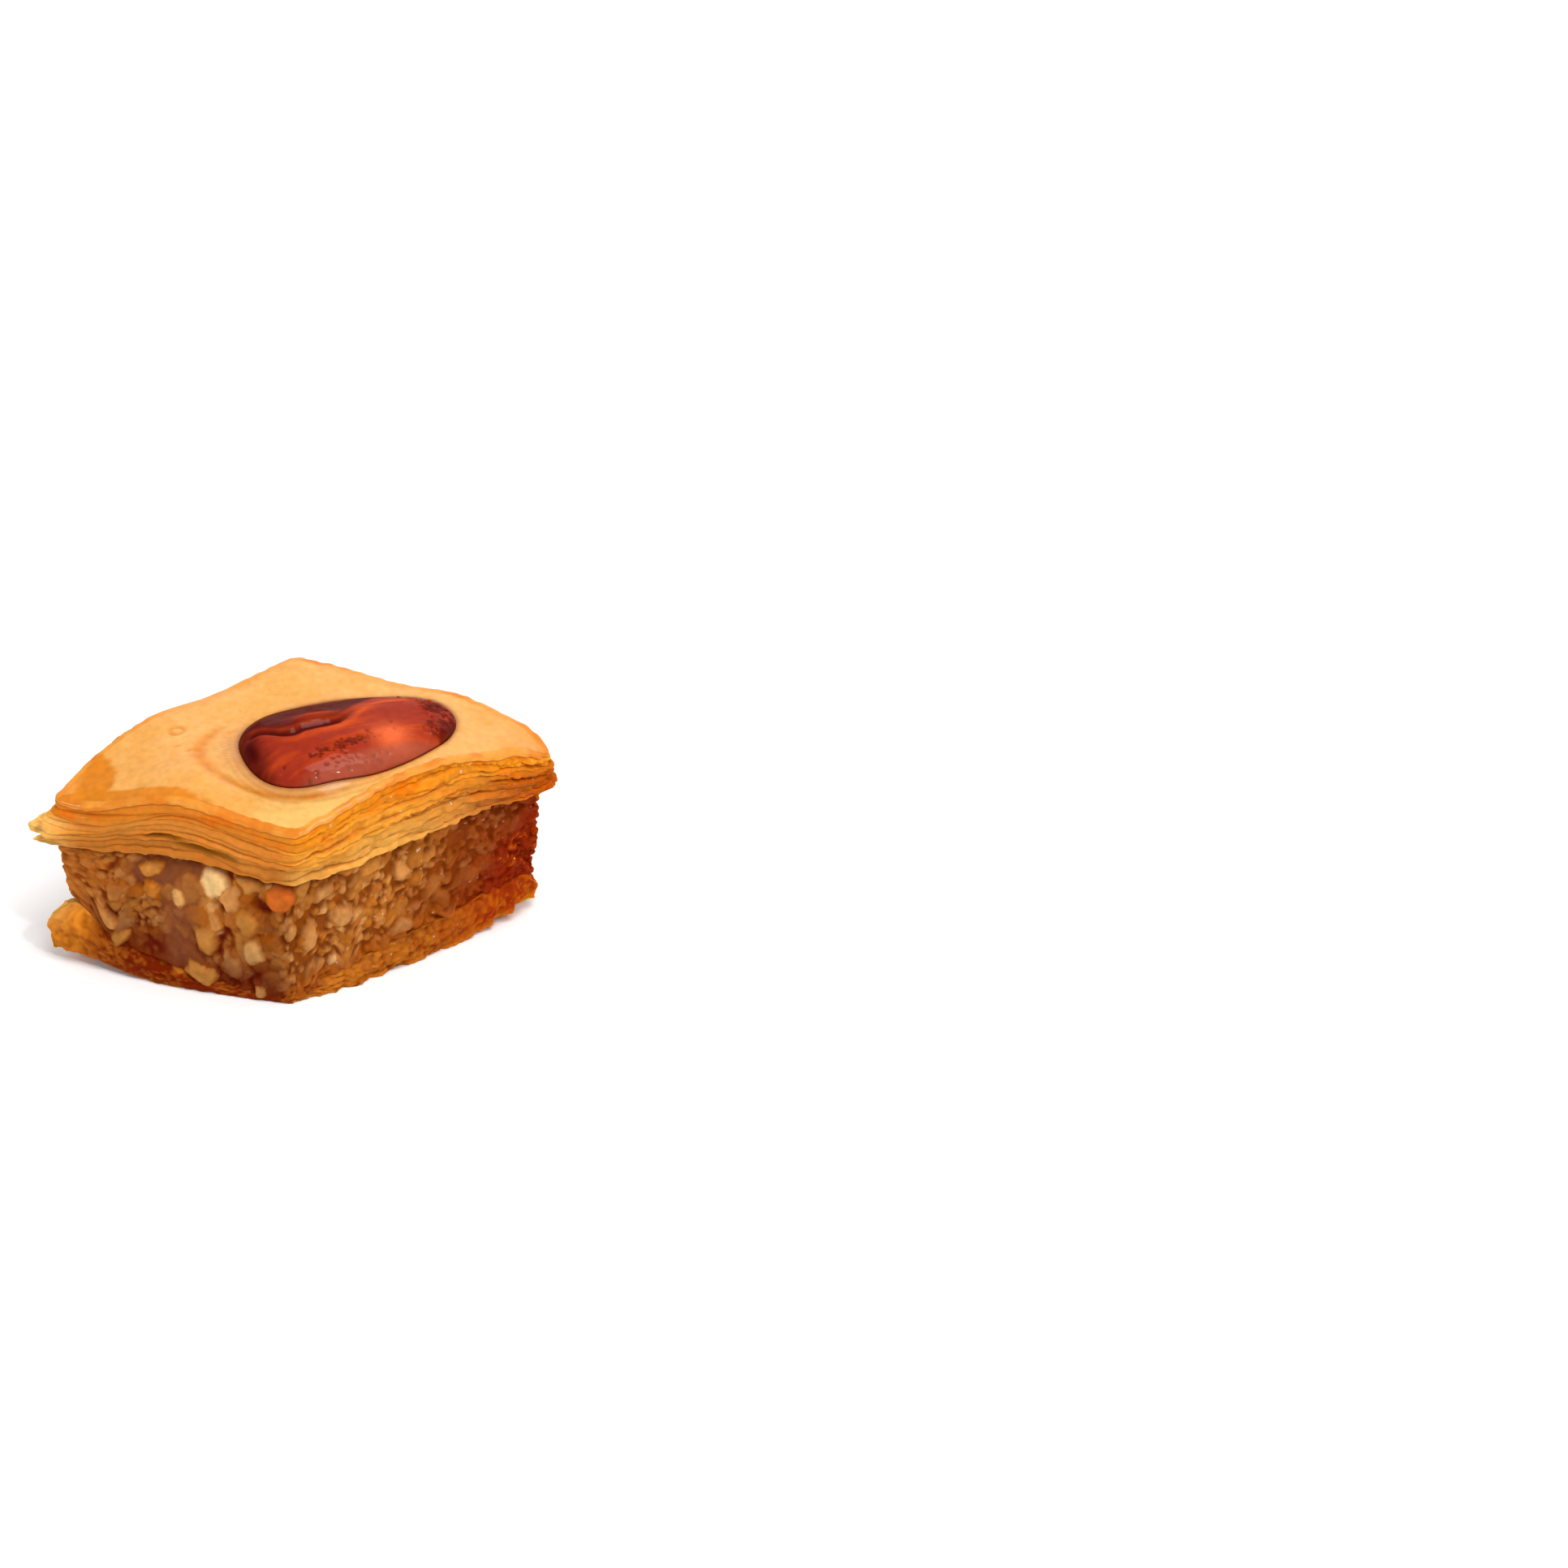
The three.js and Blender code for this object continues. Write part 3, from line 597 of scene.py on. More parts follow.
def leaf_stack():
    st = PASTRY
    turn, torn = st.turn, st.torn
    rng = np.random.default_rng(7)
    thickness = rng.uniform(0.5, 1.4, LEAVES)
    bounds = np.concatenate([[0.0], np.cumsum(thickness) / thickness.sum()])
    fringe = 0.4 * np.maximum(0.0, layered(st.distance, 0.0 * st.distance, 1.6, 645))

    def low(x, y):
        edge = fringe if len(x) == st.count else 0.0
        return filling_top_height(x, y) + 0.05 - edge

    reach, drift, slit = [], [], []
    near_front = st.near(FRONT, 24)
    for leaf in range(LEAVES):
        slow = ripple(600 + leaf, 1, 7)(turn)
        quick = ripple(640 + leaf, 12, 60)(turn)
        tear = noise(st.distance, np.full(st.count, leaf * 3.3), 1.9, 655 + leaf)
        rag = noise(st.distance, np.full(st.count, leaf * 3.3), 0.4, 660 + leaf)
        reach.append(0.2 * slow + 0.01 * quick + torn * (0.3 * tear + 0.14 * rag))
        drift.append(0.3 * thickness[leaf] / thickness.sum() * ripple(680 + leaf, 2, 12)(turn))
        opened = ripple(720 + leaf, 2, 14)(turn) + 0.5 * near_front - 0.5 * st.near(LEFT, 14)
        opened = smooth(-0.5, 1.0, opened)
        slit.append(0.02 + lerp(0.06, 0.37, smooth(0.1, 0.9, torn + 0.4 * near_front)) * opened)

    def bound(k):
        return bounds[k] + (drift[k] if 0 < k < LEAVES else 0.0)

    rings, meaning, lens = [], [], []

    def add_ring(share, out, leaf, place):
        """Adds a ring; the left corner's flap has a second ragged point low on it."""
        tatter = 1.0 * dome(share - 0.12, 0.09) - 0.9 * dome(share - 0.25, 0.07)
        jut = stack_jut(st, share) + tatter * st.near(LEFT, 3.5)
        rings.append(st.ring(share, stack_out(st, share) + out, jut, low, stack_top_height))
        meaning.append((leaf, place))
        lens.append(pocket(share, turn))

    for leaf in range(LEAVES):
        lowest, highest = bound(leaf), bound(leaf + 1)
        middle, half = (lowest + highest) / 2, (highest - lowest) / 2
        for place in (-0.95, -0.82, -0.6, -0.2, 0.2, 0.6, 0.82, 0.95):
            share = middle + place * half
            flakes = layered(st.distance / 2.0, share * 22.0, 1.0, 700, 4, PERIMETER / 2.0)
            grain = 0.24 * torn * flakes + 0.01 * flakes
            crumbs = lumps(st.distance, share * 8.0, 1.4, 737) - 0.6
            grain += 0.35 * torn * smooth(0.95, 0.4, share) * crumbs
            shreds = layered(st.distance, share * 8.0, 1.4, 733, 2)
            grain += 1.3 * shreds * st.near(LEFT, 5) * dome(share - 0.3, 0.5)
            out = reach[leaf] - 0.12 * abs(place) ** 4 + grain - 0.55 * pocket(share, turn)
            add_ring(share, out, leaf, place)
        if leaf < LEAVES - 1:
            out = np.minimum(reach[leaf], reach[leaf + 1])
            out = out - np.maximum(slit[leaf], 0.55 * pocket(highest, turn))
            add_ring(highest, out, leaf, IN_SLIT)
    outline = st.outline(STACK_BASE_BOW)
    low_cap = cap_rings(rings[0], [0.02, 0.06, 0.14, 0.3, 0.6, 0.9], low, outline)

    def covered(x, y):
        return stack_top_height(x, y) - almond_hollow(x, y) - 0.02

    inwards = [0.02, 0.06, 0.14, 0.3, 0.45, 0.6, 0.75, 0.9]
    high_cap = cap_rings(rings[-1], inwards, covered, st.outline(STACK_TOP_BOW))
    leaf_of, place_of = (np.array(values) for values in zip(*meaning))
    lens = np.stack(lens)
    slit = np.stack(slit)

    def paint(points, row, column):
        ring = np.clip(row, 0, len(rings) - 1)
        leaf, place = leaf_of[ring], place_of[ring]
        distance = st.distance[column]
        height = (leaf + place / 2) / (LEAVES - 1)
        tone = np.random.default_rng(77).uniform(0.86, 1.1, LEAVES)[leaf]
        streak = layered(distance, leaf * 5.0 + place, 2.6, 81)
        fleck = layered(distance, ring * 0.11, 0.5, 84)
        upper = smooth(0.05, 0.5, height + 0.15 * streak)
        highest = smooth(0.55, 1.0, height + 0.1 * streak)
        even = mix(mix(SMOOTH_LEAVES[0], SMOOTH_LEAVES[1], upper), SMOOTH_LEAVES[2], highest)
        ripped = mix(mix(TORN_LEAVES[0], TORN_LEAVES[1], upper), TORN_LEAVES[2], highest)
        colour = mix(even, ripped, smooth(0.15, 0.8, st.torn[column]))
        # Darker towards the right corner, low down: painted shade and red bounce light.
        colour = mix(colour, LEAF_RIGHT_END_SHADE, st.near(RIGHT, 22)[column] * smooth(1.0, 0.5, height))
        pale = 0.10 * hump(place, 0.0, 0.5)
        colour = colour * (tone + pale + 0.07 * streak + 0.1 * fleck * st.torn[column])[:, None]
        patchy = layered(distance, leaf * 2.3 + place, 3.4, 87)
        colour = mix(colour, LEAF_STREAK, 0.75 * smooth(0.1, 0.45, patchy) * (0.2 + 0.8 * highest))
        # Painted shade in the slits between leaves, deeper slits darker, and a little on the leaf edges
        # beside them.
        deep = slit[leaf, column] / DEEPEST_SLIT
        shade = np.where(place == IN_SLIT, 0.05 + 0.9 * deep, 0.0)
        shade = np.where((np.abs(place) > 0.9) & (place < 1.0), 0.25 * deep, shade)
        colour = mix(colour, LEAF_SLIT_SHADE, shade)
        # Painted olive shade in the pockets where two leaves part.
        colour = mix(colour, POCKET_SHADE_OLIVE, 0.85 * smooth(0.15, 0.5, lens[ring, column]))
        # The pale thin flap at the left corner: pale dough painted lighter for light that shines through
        # it from behind.
        flap = st.near(LEFT, 5)[column] * between(height, -0.1, 0.1, 0.6, 0.85)
        colour = mix(colour, FLAP_BACKLIT_PALE * (1 + 0.25 * fleck)[:, None], flap)
        # Painted highlights: pale specks for glints on the torn side.
        glint = smooth(0.92, 0.99, noise(distance, ring * 0.11, 0.25, 89))
        colour = mix(colour, PAINTED_GLINT, 0.7 * glint * st.torn[column])
        return colour, lerp(0.95, 0.15, st.torn[column]) + 0.1 * streak

    return closed_piece("baklava_leaves", low_cap, rings, high_cap, paint)


# ----------------- nut filling

DARK_PASTE_AND_SHADE = srgb(94, 12, 0)
PASTE_BROWN = srgb(148, 70, 2)
PASTE_LIGHT = srgb(180, 98, 20)
SYRUP_FILM = srgb(126, 68, 38)
# The right end: painted shade and red bounce light.
RIGHT_END_SHADE = srgb(130, 26, 0)
RIGHT_END_BOUNCE = srgb(204, 88, 2)
RIGHT_END_APPROACH_SHADE = srgb(130, 48, 2)
LEFT_SOAK = srgb(194, 116, 46)
CRUST_BROWN = srgb(172, 88, 16)
NUT_TONES = [srgb(*tone) for tone in (
    (222, 164, 96), (212, 147, 80), (198, 132, 58), (186, 112, 38),
    (192, 116, 52), (200, 134, 62), (236, 194, 130), (222, 112, 38),
)]
NUT_CHANCES = (0.10, 0.24, 0.26, 0.22, 0.10, 0.08, 0.0, 0.0)
NUT_COARSENESS = (0.76, 0.85, 0.85, 1.0)  # how large the pieces of nut are on each side
NUT_FACETS, NUT_SOFTNESS = 8, 0.07
FILLING_ROWS = 88

# Gaps between the filling and the leaves: (turn, half length).
CREVICES = ((0.797, 0.009), (0.826, 0.014), (0.087, 0.006), (0.138, 0.009))

# Pieces of nut that stand out: (turn, level, half width, half height, lean, tone).
LANDMARK_NUTS = (
    (0.924, 0.84, 1.6, 1.9, 0.5, 6),
    (0.941, 0.76, 1.3, 1.7, 0.2, 1),
    (0.958, 0.92, 1.7, 1.0, -0.1, 5),
    (0.988, 0.88, 1.9, 1.5, 0.0, 7),
    (0.823, 0.27, 1.9, 1.2, 0.0, 1),
    (0.838, 0.12, 1.2, 1.1, 0.0, 2),
    (0.965, 0.38, 1.2, 1.3, 0.3, 0),
    (0.958, 0.60, 1.5, 1.3, -0.2, 2),
    (0.917, 0.06, 2.3, 1.5, 0.1, 5),
    (0.921, 0.40, 1.3, 1.6, 0.0, 5),
    (0.018, 0.50, 1.0, 1.7, 0.25, 1),
    (0.971, 0.05, 0.8, 0.8, 0.0, 1),
    (0.863, 0.83, 1.4, 0.9, 0.4, 2),
    (0.868, 0.65, 1.3, 1.1, -0.3, 3),
    (0.893, 0.64, 1.1, 1.2, 0.2, 0),
    (0.163, 0.10, 1.3, 0.7, 0.3, 1),
    (0.111, 0.14, 1.5, 1.0, 0.1, 0),
    (0.051, 0.57, 1.5, 1.0, 0.2, 1),
    (0.079, 0.88, 1.5, 1.0, 0.3, 2),
    (0.126, 0.78, 1.1, 1.4, 0.0, 3),
    (0.143, 0.37, 1.3, 1.0, 0.2, 5),
    (0.033, 0.83, 1.4, 0.8, 0.3, 1),
    (0.042, 0.15, 0.5, 0.6, 0.0, 6),
)


def scattered_nuts(tall):
    """Pieces of nut all round: (distance, height, half width, half height, lean, tone)."""
    rng = np.random.default_rng(31)
    nuts = []
    for count, least, most in ((90, 1.1, 1.7), (520, 0.7, 1.1), (1700, 0.4, 0.7), (1400, 0.25, 0.4)):
        for _ in range(count):
            distance = rng.uniform(0.0, PERIMETER)
            side = int(side_at(distance)[0])
            coarse = NUT_COARSENESS[side]
            radius = rng.uniform(least, most) * coarse
            height = rng.uniform(-0.03, 1.03) * tall
            tone = rng.choice(len(NUT_TONES), p=NUT_CHANCES)
            nuts.append((distance, height, radius * rng.uniform(0.85, 1.25),
                         radius * rng.uniform(0.7, 1.0), rng.uniform(-0.7, 0.7), tone))
    order = np.argsort([-nut[2] for nut in nuts])
    nuts = [nuts[i] for i in order]
    for turn, level, wide, high, lean, tone in LANDMARK_NUTS:
        nuts.append((turn * PERIMETER, level * tall, wide, high, lean, tone))
    return nuts


def chopped_relief(tall):
    """How far the cut side stands out at each (row, column), which piece of nut shows
    there (-1 for bare paste) and how near the place is to that piece's edge."""
    rng = np.random.default_rng(32)
    step_u = PERIMETER / FILLING_COLUMNS
    step_v = tall / (FILLING_ROWS - 1)
    distance = np.repeat(WALL.distance[None, :], FILLING_ROWS, axis=0)
    height = np.repeat((np.arange(FILLING_ROWS) * step_v)[:, None], FILLING_COLUMNS, axis=1)
    relief = -0.8 + 0.35 * layered(distance, height, 1.8, 91)
    warp_u, warp_v = (
        0.45 * layered(distance, height, 1.5, seed) + 0.16 * layered(distance, height, 0.55, seed + 60)
        for seed in (101, 105)
    )
    owner = np.full(relief.shape, -1)
    brink = np.ones(relief.shape)
    nuts = scattered_nuts(tall)
    for number, (u, v, wide, high, lean, _) in enumerate(nuts):
        marked = number >= len(nuts) - len(LANDMARK_NUTS)
        radius = math.sqrt(wide * high)
        small = min(1.0, radius)  # 1 for all but the small pieces
        proud = rng.uniform(-0.35, 0.1) * small
        if marked:
            proud = 0.22 - 0.1 * max(0.0, radius - 1.0)
        facets = rng.normal(size=(NUT_FACETS, 3))
        facets[:, 2] = np.abs(facets[:, 2]) * 0.8 + 0.15
        facets /= np.linalg.norm(facets, axis=1)[:, None]
        spread = rng.uniform(0.75, 1.0, NUT_FACETS)
        column, columns = int(u / step_u), int(wide * 1.5 / step_u) + 2
        row, rows = int(v / step_v), int(high * 1.5 / step_v) + 2
        down = np.arange(max(0, row - rows), min(FILLING_ROWS, row + rows + 1))
        if len(down) == 0:
            continue
        along = np.arange(column - columns, column + columns + 1)
        window = np.ix_(down, along % FILLING_COLUMNS)
        du = (along * step_u - u)[None, :] + small * warp_u[window]
        dv = (down * step_v - v)[:, None] + small * warp_v[window]
        cos, sin = math.cos(lean), math.sin(lean)
        a = (du * cos + dv * sin) / wide
        b = (-du * sin + dv * cos) / high
        squared = a * a + b * b
        ball = np.sqrt(np.maximum(0.0, 1.0 - squared * 0.9)) - 3.0 * np.maximum(0.0, squared - 1.05)
        planes = [(far - p * a - q * b) / up for far, (p, q, up) in zip(spread, facets)]
        planes = np.stack(planes + [np.full_like(ball, 0.8), ball * 1.05])
        lowest = planes.min(axis=0)
        rounding = np.log(np.exp(-(planes - lowest) / NUT_SOFTNESS).sum(axis=0))
        body = lowest - NUT_SOFTNESS * rounding
        body = (body - 0.5) * radius * 0.7 + proud - 0.35 * (1.0 - small)
        off_centre = np.hypot(a, b)
        taller = (body > relief[window]) | (marked & (off_centre < 0.8))
        edge = smooth(0.5, 1.05, off_centre)
        for values, fresh in ((relief, body), (owner, number), (brink, edge)):
            values[window] = np.where(taller, fresh, values[window])
    return relief, owner, brink, np.array([nut[5] for nut in nuts]), distance, height


def blurred(values):
    total = values * 2.0 + np.roll(values, 1, axis=1) + np.roll(values, -1, axis=1)
    up = np.concatenate([values[1:], values[-1:]])
    down = np.concatenate([values[:1], values[:-1]])
    return (total + up + down) / 6.0


def nut_filling():
    st = WALL
    tall = FILLING_TOP - FILLING_BASE
    shares = np.linspace(0.0, 1.0, FILLING_ROWS)
    relief, owner, brink, tones, distance, height = chopped_relief(tall)
    calm = 0.8 * st.near(LEFT, 8)[None, :]
    crumbs = 0.4 * layered(distance, height, 2.2, 107)
    crumbs += 0.45 * (lumps(distance, height, 1.2, 111) - 0.7)
    relief = lerp(blurred(relief), -0.15 + crumbs, calm)
    level = shares[:, None] + 0.0 * distance
    turn = distance / PERIMETER
    film = hump(turn, 0.893, 0.02) * hump(level, 0.55, 0.33)
    film += 0.9 * hump(turn, 0.864, 0.03) * hump(level, 0.8, 0.14)
    film += 0.6 * hump(turn, 0.905, 0.03) * hump(level, 0.88, 0.12)
    film += 0.7 * hump(turn, 0.905, 0.02) * hump(level, 0.13, 0.12)
    film *= smooth(-0.9, 0.1, layered(distance, height, 1.6, 141) + film)
    syrup = -0.44 + 0.18 * layered(distance, height, 3.0, 145) + 0.5 * film
    syrup -= 0.25 * smooth(0.2, 0.8, st.torn)[None, :]
    wet = smooth(0.12, -0.08, relief - syrup)
    softness = 0.06
    highest = np.maximum(relief, syrup)
    relief_wet = highest + softness * np.log(
        np.exp((relief - highest) / softness) + np.exp((syrup - highest) / softness)
    )
    crumbly = lerp(0.05, 0.16, smooth(0.2, 0.8, st.torn))[None, :]
    relief_wet += crumbly * (lumps(distance, height, 0.9, 149) - 0.6)
    relief_wet += 0.16 * smooth(0.2, 0.7, film) * layered(distance, height, 1.1, 153)
    relief_wet = np.minimum(relief_wet, 0.8)
    # Nuts that hang over the bottom pastry, most of all along the front-left side.
    hang = np.maximum(0.0, 0.5 + 0.8 * ripple(155, 4, 30)(st.turn))
    hang *= 1.0 - st.near(LEFT, 9)
    hang += 0.6 * hump(st.turn, 0.818, 0.018)
    hang += 0.8 * st.near(FRONT, 10) + 0.5 * st.near(FRONT, 24) * (st.side == LEFT)

    def low(x, y):
        if len(x) == st.count:
            return np.maximum(0.4, filling_base_height(x, y) + 0.05 - hang)
        return filling_base_height(x, y) + 0.05

    def high(x, y):
        return filling_top_height(x, y) - 0.05

    parted = smooth(-0.2, 0.6, ripple(151, 3, 18)(st.turn))
    for at, long in CREVICES:
        parted = np.maximum(parted, hump(st.turn, at, long))
    crevice = smooth(0.92, 1.0, level) * parted[None, :]
    rings = []
    for row, share in enumerate(shares):
        bow = lerp(st.bow(FILLING_BASE_BOW), st.bow(FILLING_TOP_BOW), share)
        hold = 1.0 - 0.5 * dome(min(share, 1 - share), 0.04)
        out = bow - 0.35 + 0.3 * math.sin(math.pi * share) + relief_wet[row] * hold - 0.7 * crevice[row]
        jut = lerp(-1.3, 0.2, share) * st.near(LEFT, 10) - 0.4 * st.near(RIGHT, 9)
        rings.append(st.ring(share, out, jut, low, high))
    low_cap = cap_rings(rings[0], [0.05, 0.3, 0.9], low, st.joint)
    high_cap = cap_rings(rings[-1], [0.05, 0.3, 0.9], high, st.joint)

    def paint(points, row, column):
        ring = np.clip(row, 0, FILLING_ROWS - 1)
        who = owner[ring, column]
        rise = relief[ring, column]
        film_here, wet_here = film[ring, column], wet[ring, column]
        place = distance[ring, column]
        up = height[ring, column]
        shade = np.random.default_rng(33).uniform(0.84, 1.1, len(tones))
        nuts = np.stack(NUT_TONES)[tones[who]] * shade[who][:, None]
        stain = layered(place, up, 4.0, 97)
        fleck = layered(place, up, 0.5, 99)
        torn = smooth(0.2, 0.8, st.torn[column])
        # Paste darker the deeper it lies: painted shade in the hollows between nuts.
        paste = mix(DARK_PASTE_AND_SHADE, PASTE_BROWN, smooth(-0.95, -0.2, rise) + 0.3 * fleck)
        paste = mix(paste, PASTE_LIGHT, 0.55 * torn)
        marked = who >= len(tones) - len(LANDMARK_NUTS)
        soak = np.where(marked, 0.1 + 0.1 * stain, lerp(0.52, 0.42, torn) + 0.5 * stain)
        nuts = mix(nuts, mix(PASTE_BROWN, PASTE_LIGHT, torn), soak)
        nuts = mix(nuts, PASTE_BROWN, lerp(0.75, 0.5, torn) * brink[ring, column])
        # Sunken pieces of nut darker: painted shade.
        nuts = mix(nuts, DARK_PASTE_AND_SHADE, lerp(0.7, 0.4, torn) * smooth(0.0, -0.7, rise))
        bright = lerp(lerp(0.82, 1.02, smooth(0.3, 0.95, up / tall)), 0.94, torn)
        bright = bright * (1.0 - 0.16 * st.near(FRONT, 8)[column])
        nuts = nuts * ((1 + 0.2 * fleck) * bright)[:, None]
        colour = np.where((who >= 0)[:, None], nuts, paste)
        colour = mix(colour, paste, 0.55 * wet_here)
        soaked_base = smooth(lerp(0.45, 0.3, torn), 0.0, up / tall + 0.15 * stain) * ~marked
        colour = mix(colour, DARK_PASTE_AND_SHADE, lerp(0.85, 0.5, torn) * soaked_base)
        filmed = smooth(0.15, 0.6, film_here) * (0.55 + 0.45 * wet_here) * ~marked
        clouded = 0.84 + 0.3 * layered(place, up, 1.1, 153)
        colour = mix(colour, SYRUP_FILM, clouded * filmed)
        crumb = smooth(-0.5, 0.2, rise + 0.2 * fleck)
        colour = mix(colour, mix(PASTE_BROWN, LEFT_SOAK, crumb), calm[0, column])
        # Red towards the right end: painted shade and red bounce light, lighter on raised bits.
        along_side = st.turn[column] - 0.07 * (up / tall - 0.5) + 0.02 * stain
        before_back = smooth(0.33, 0.27, st.turn[column])
        colour = mix(colour, RIGHT_END_APPROACH_SHADE, 0.78 * smooth(0.1, 0.18, along_side) * before_back)
        red = smooth(0.17, 0.23, along_side) * before_back
        right_end_shade_and_bounce = mix(RIGHT_END_SHADE, RIGHT_END_BOUNCE, smooth(-0.2, 0.6, stain + 0.6 * fleck + 0.5 * rise))
        colour = mix(colour, right_end_shade_and_bounce, 0.88 * red)
        crusted = smooth(0.24, 0.02, up / tall + 0.1 * stain) * torn * (1.0 - red)
        colour = mix(colour, CRUST_BROWN * (1 + 0.2 * fleck)[:, None], 0.7 * crusted)
        # Painted shade under the overhanging leaves, deepest in the crevices.
        shade_under_leaves = smooth(0.9, 1.0, up / tall) * (0.3 + 0.6 * crevice[ring, column])
        colour = mix(colour, DARK_PASTE_AND_SHADE, shade_under_leaves)
        # Painted highlights: pale specks for glints on the torn side.
        glint = smooth(0.92, 0.99, noise(place, up, 0.25, 157))
        colour = mix(colour, PAINTED_GLINT, 0.65 * glint * torn * (1.0 - 0.6 * red))
        return colour, lerp(0.45, 0.1, torn) + 0.5 * wet_here + 0.1 * stain

    return closed_piece("baklava_filling", low_cap, rings, high_cap, paint)


# -------------- bottom pastry

BOTTOM_ROWS = 40
SOAKED = srgb(188, 110, 28)
SOAKED_DARK = srgb(112, 28, 0)
LIP_GOLD = srgb(218, 132, 34)
BOTTOM_RIGHT_END_SHADE = srgb(148, 34, 0)
RIM_GOLD = srgb(212, 118, 16)


def bottom_pastry():
    st = PASTRY

    def high(x, y):
        from_corner = np.hypot(x - JOINT_PLAN[LEFT, 0], y - JOINT_PLAN[LEFT, 1])
        return filling_base_height(x, y) - 0.05 - 0.9 * dome(from_corner, 3.2)

    shares = np.linspace(0.0, 1.0, BOTTOM_ROWS)
    grainy = 0.45 + 0.8 * smooth(0.2, 0.9, st.torn) + 0.6 * st.near(LEFT, 9) + 0.5 * st.near(RIGHT, 12)
    rings = []
    for share in shares:
        up = np.full(st.count, share * FILLING_BASE)
        leaves = 0.05 * np.sin(share * 26.0 + 1.2 * ripple(811, 2, 9)(st.turn))
        rough = 0.28 * layered(st.distance, up, 1.3, 821, 4)
        rough += 0.34 * (lumps(st.distance, up, 0.8, 823) - 0.6)
        ragged = 0.25 * (1 - share) ** 2 * noise(st.distance, 0 * up, 0.9, 829)
        shoulder = 0.75 * smooth(0.45, 1.0, share) ** 1.5
        out = st.bow(BOTTOM_BOW) * (1 - 0.2 * share) - 0.2 - 0.45 * (1 - share) ** 4 - shoulder
        out = out - 0.45 * smooth(0.1, 0.5, share) * st.near(FRONT, 12)
        out = out + leaves * (1.0 - st.near(FRONT, 16)) + grainy * (rough + ragged)
        shreds = layered(st.distance, up, 1.8, 841)
        jut = (0.8 + 0.3 * share - 1.3 * smooth(0.65, 1.0, share) ** 2) * st.near(LEFT, 7)
        jut = jut + (0.7 * shreds - 0.8 * share) * st.near(RIGHT, 7) + 0.35 * shreds * st.near(LEFT, 7)
        rings.append(st.ring(share, out, jut, underside_height, high))
    low_cap = cap_rings(rings[0], [0.03, 0.1, 0.2, 0.35, 0.6, 0.9], underside_height, st.joint)
    high_cap = cap_rings(rings[-1], [0.02, 0.05, 0.09, 0.14, 0.2, 0.35, 0.6, 0.9], high, st.joint)

    def paint(points, row, column):
        ring = np.clip(row, 0, BOTTOM_ROWS - 1)
        share = ring / (BOTTOM_ROWS - 1)
        blotch = layered(st.distance[column], ring * 0.13, 2.5, 831)
        fleck = layered(st.distance[column], ring * 0.13, 0.6, 834)
        turn = st.turn[column]
        darker = 0.3 + 0.6 * between(turn, 0.75, 0.82, 0.985, 1.0)
        darker = darker + 0.3 * st.near(FRONT, 14)[column]
        grains = lumps(st.distance[column], ring * 0.115, 0.8, 823)
        fine = noise(st.distance[column], ring * 0.115, 0.34, 835)
        uneven = 0.5 * blotch + 0.25 * fleck + 0.5 * (0.6 - grains) + 0.22 * fine
        colour = mix(SOAKED, SOAKED_DARK, darker + uneven)
        # Red towards the right end: painted shade and red bounce light, with a golden ragged rim.
        red = smooth(0.13, 0.22, turn + 0.015 * blotch) * smooth(0.33, 0.27, turn)
        sparks = smooth(-0.1, 0.7, 0.7 * fleck + 0.8 * (grains - 0.6) + 0.5 * fine + 0.3 * blotch)
        colour = mix(colour, mix(BOTTOM_RIGHT_END_SHADE, RIM_GOLD, 0.4 * sparks), 0.9 * red)
        torn = smooth(0.2, 0.8, st.torn[column])
        golden = smooth(0.35, 0.0, share + 0.12 * blotch) * (lerp(0.12, 0.4, torn) + 0.45 * red)
        golden = golden * (1.0 - 0.8 * st.near(FRONT, 14)[column])
        colour = mix(colour, RIM_GOLD, golden)
        lip = st.near(LEFT, 8)[column]
        gold = smooth(0.1, 0.7, lip + 0.2 * blotch) * (0.55 + 0.45 * share)
        colour = mix(colour, LIP_GOLD, gold * (0.9 - 0.4 * np.abs(fleck) - 0.3 * fine))
        # The pale top of the left lip: pale dough painted lighter for light that shines through it from
        # behind.
        backlit_pale_top = st.near(LEFT, 4)[column] * smooth(0.35, 0.9, share + 0.1 * blotch)
        colour = mix(colour, FLAP_BACKLIT_PALE, 0.6 * backlit_pale_top)
        # Painted highlights: pale specks for glints on the torn side.
        glint = smooth(0.9, 0.98, noise(st.distance[column], ring * 0.115, 0.25, 837))
        colour = mix(colour, PAINTED_GLINT, 0.65 * glint * st.torn[column] * (1.0 - 0.7 * red))
        return colour, lerp(0.7, 0.1, torn) + 0.1 * blotch

    return closed_piece("baklava_bottom", low_cap, rings, high_cap, paint)


# ----------------------- almond

ALMOND_RED = srgb(150, 44, 24)
ALMOND_DARK = srgb(68, 2, 0)
ALMOND_BRIGHT = srgb(204, 74, 12)
ALMOND_HIGHLIGHT = srgb(238, 108, 58)
ALMOND_RIM_SHEEN = srgb(168, 88, 64)
ALMOND_AROUND = 300
ALMOND_ALONG = 220


def almond_pits(along, across):
    """Small round pits in a slanting band and a few beside it, 0 to 1. Places in mm."""
    rng = np.random.default_rng(921)
    total = np.zeros_like(along)
    for number in range(130):
        beside = number % 5 == 0
        at = rng.normal(-2.5, 3.2 if beside else 2.4)
        level = -6.0 if beside else -4.2 + 0.25 * max(0.0, at + 2.0)
        level += rng.normal(0.0, 0.35)
        reach = rng.uniform(0.1, 0.22)
        total = np.maximum(total, hump(np.hypot(along - at, across - level), 0.0, reach))
    return total


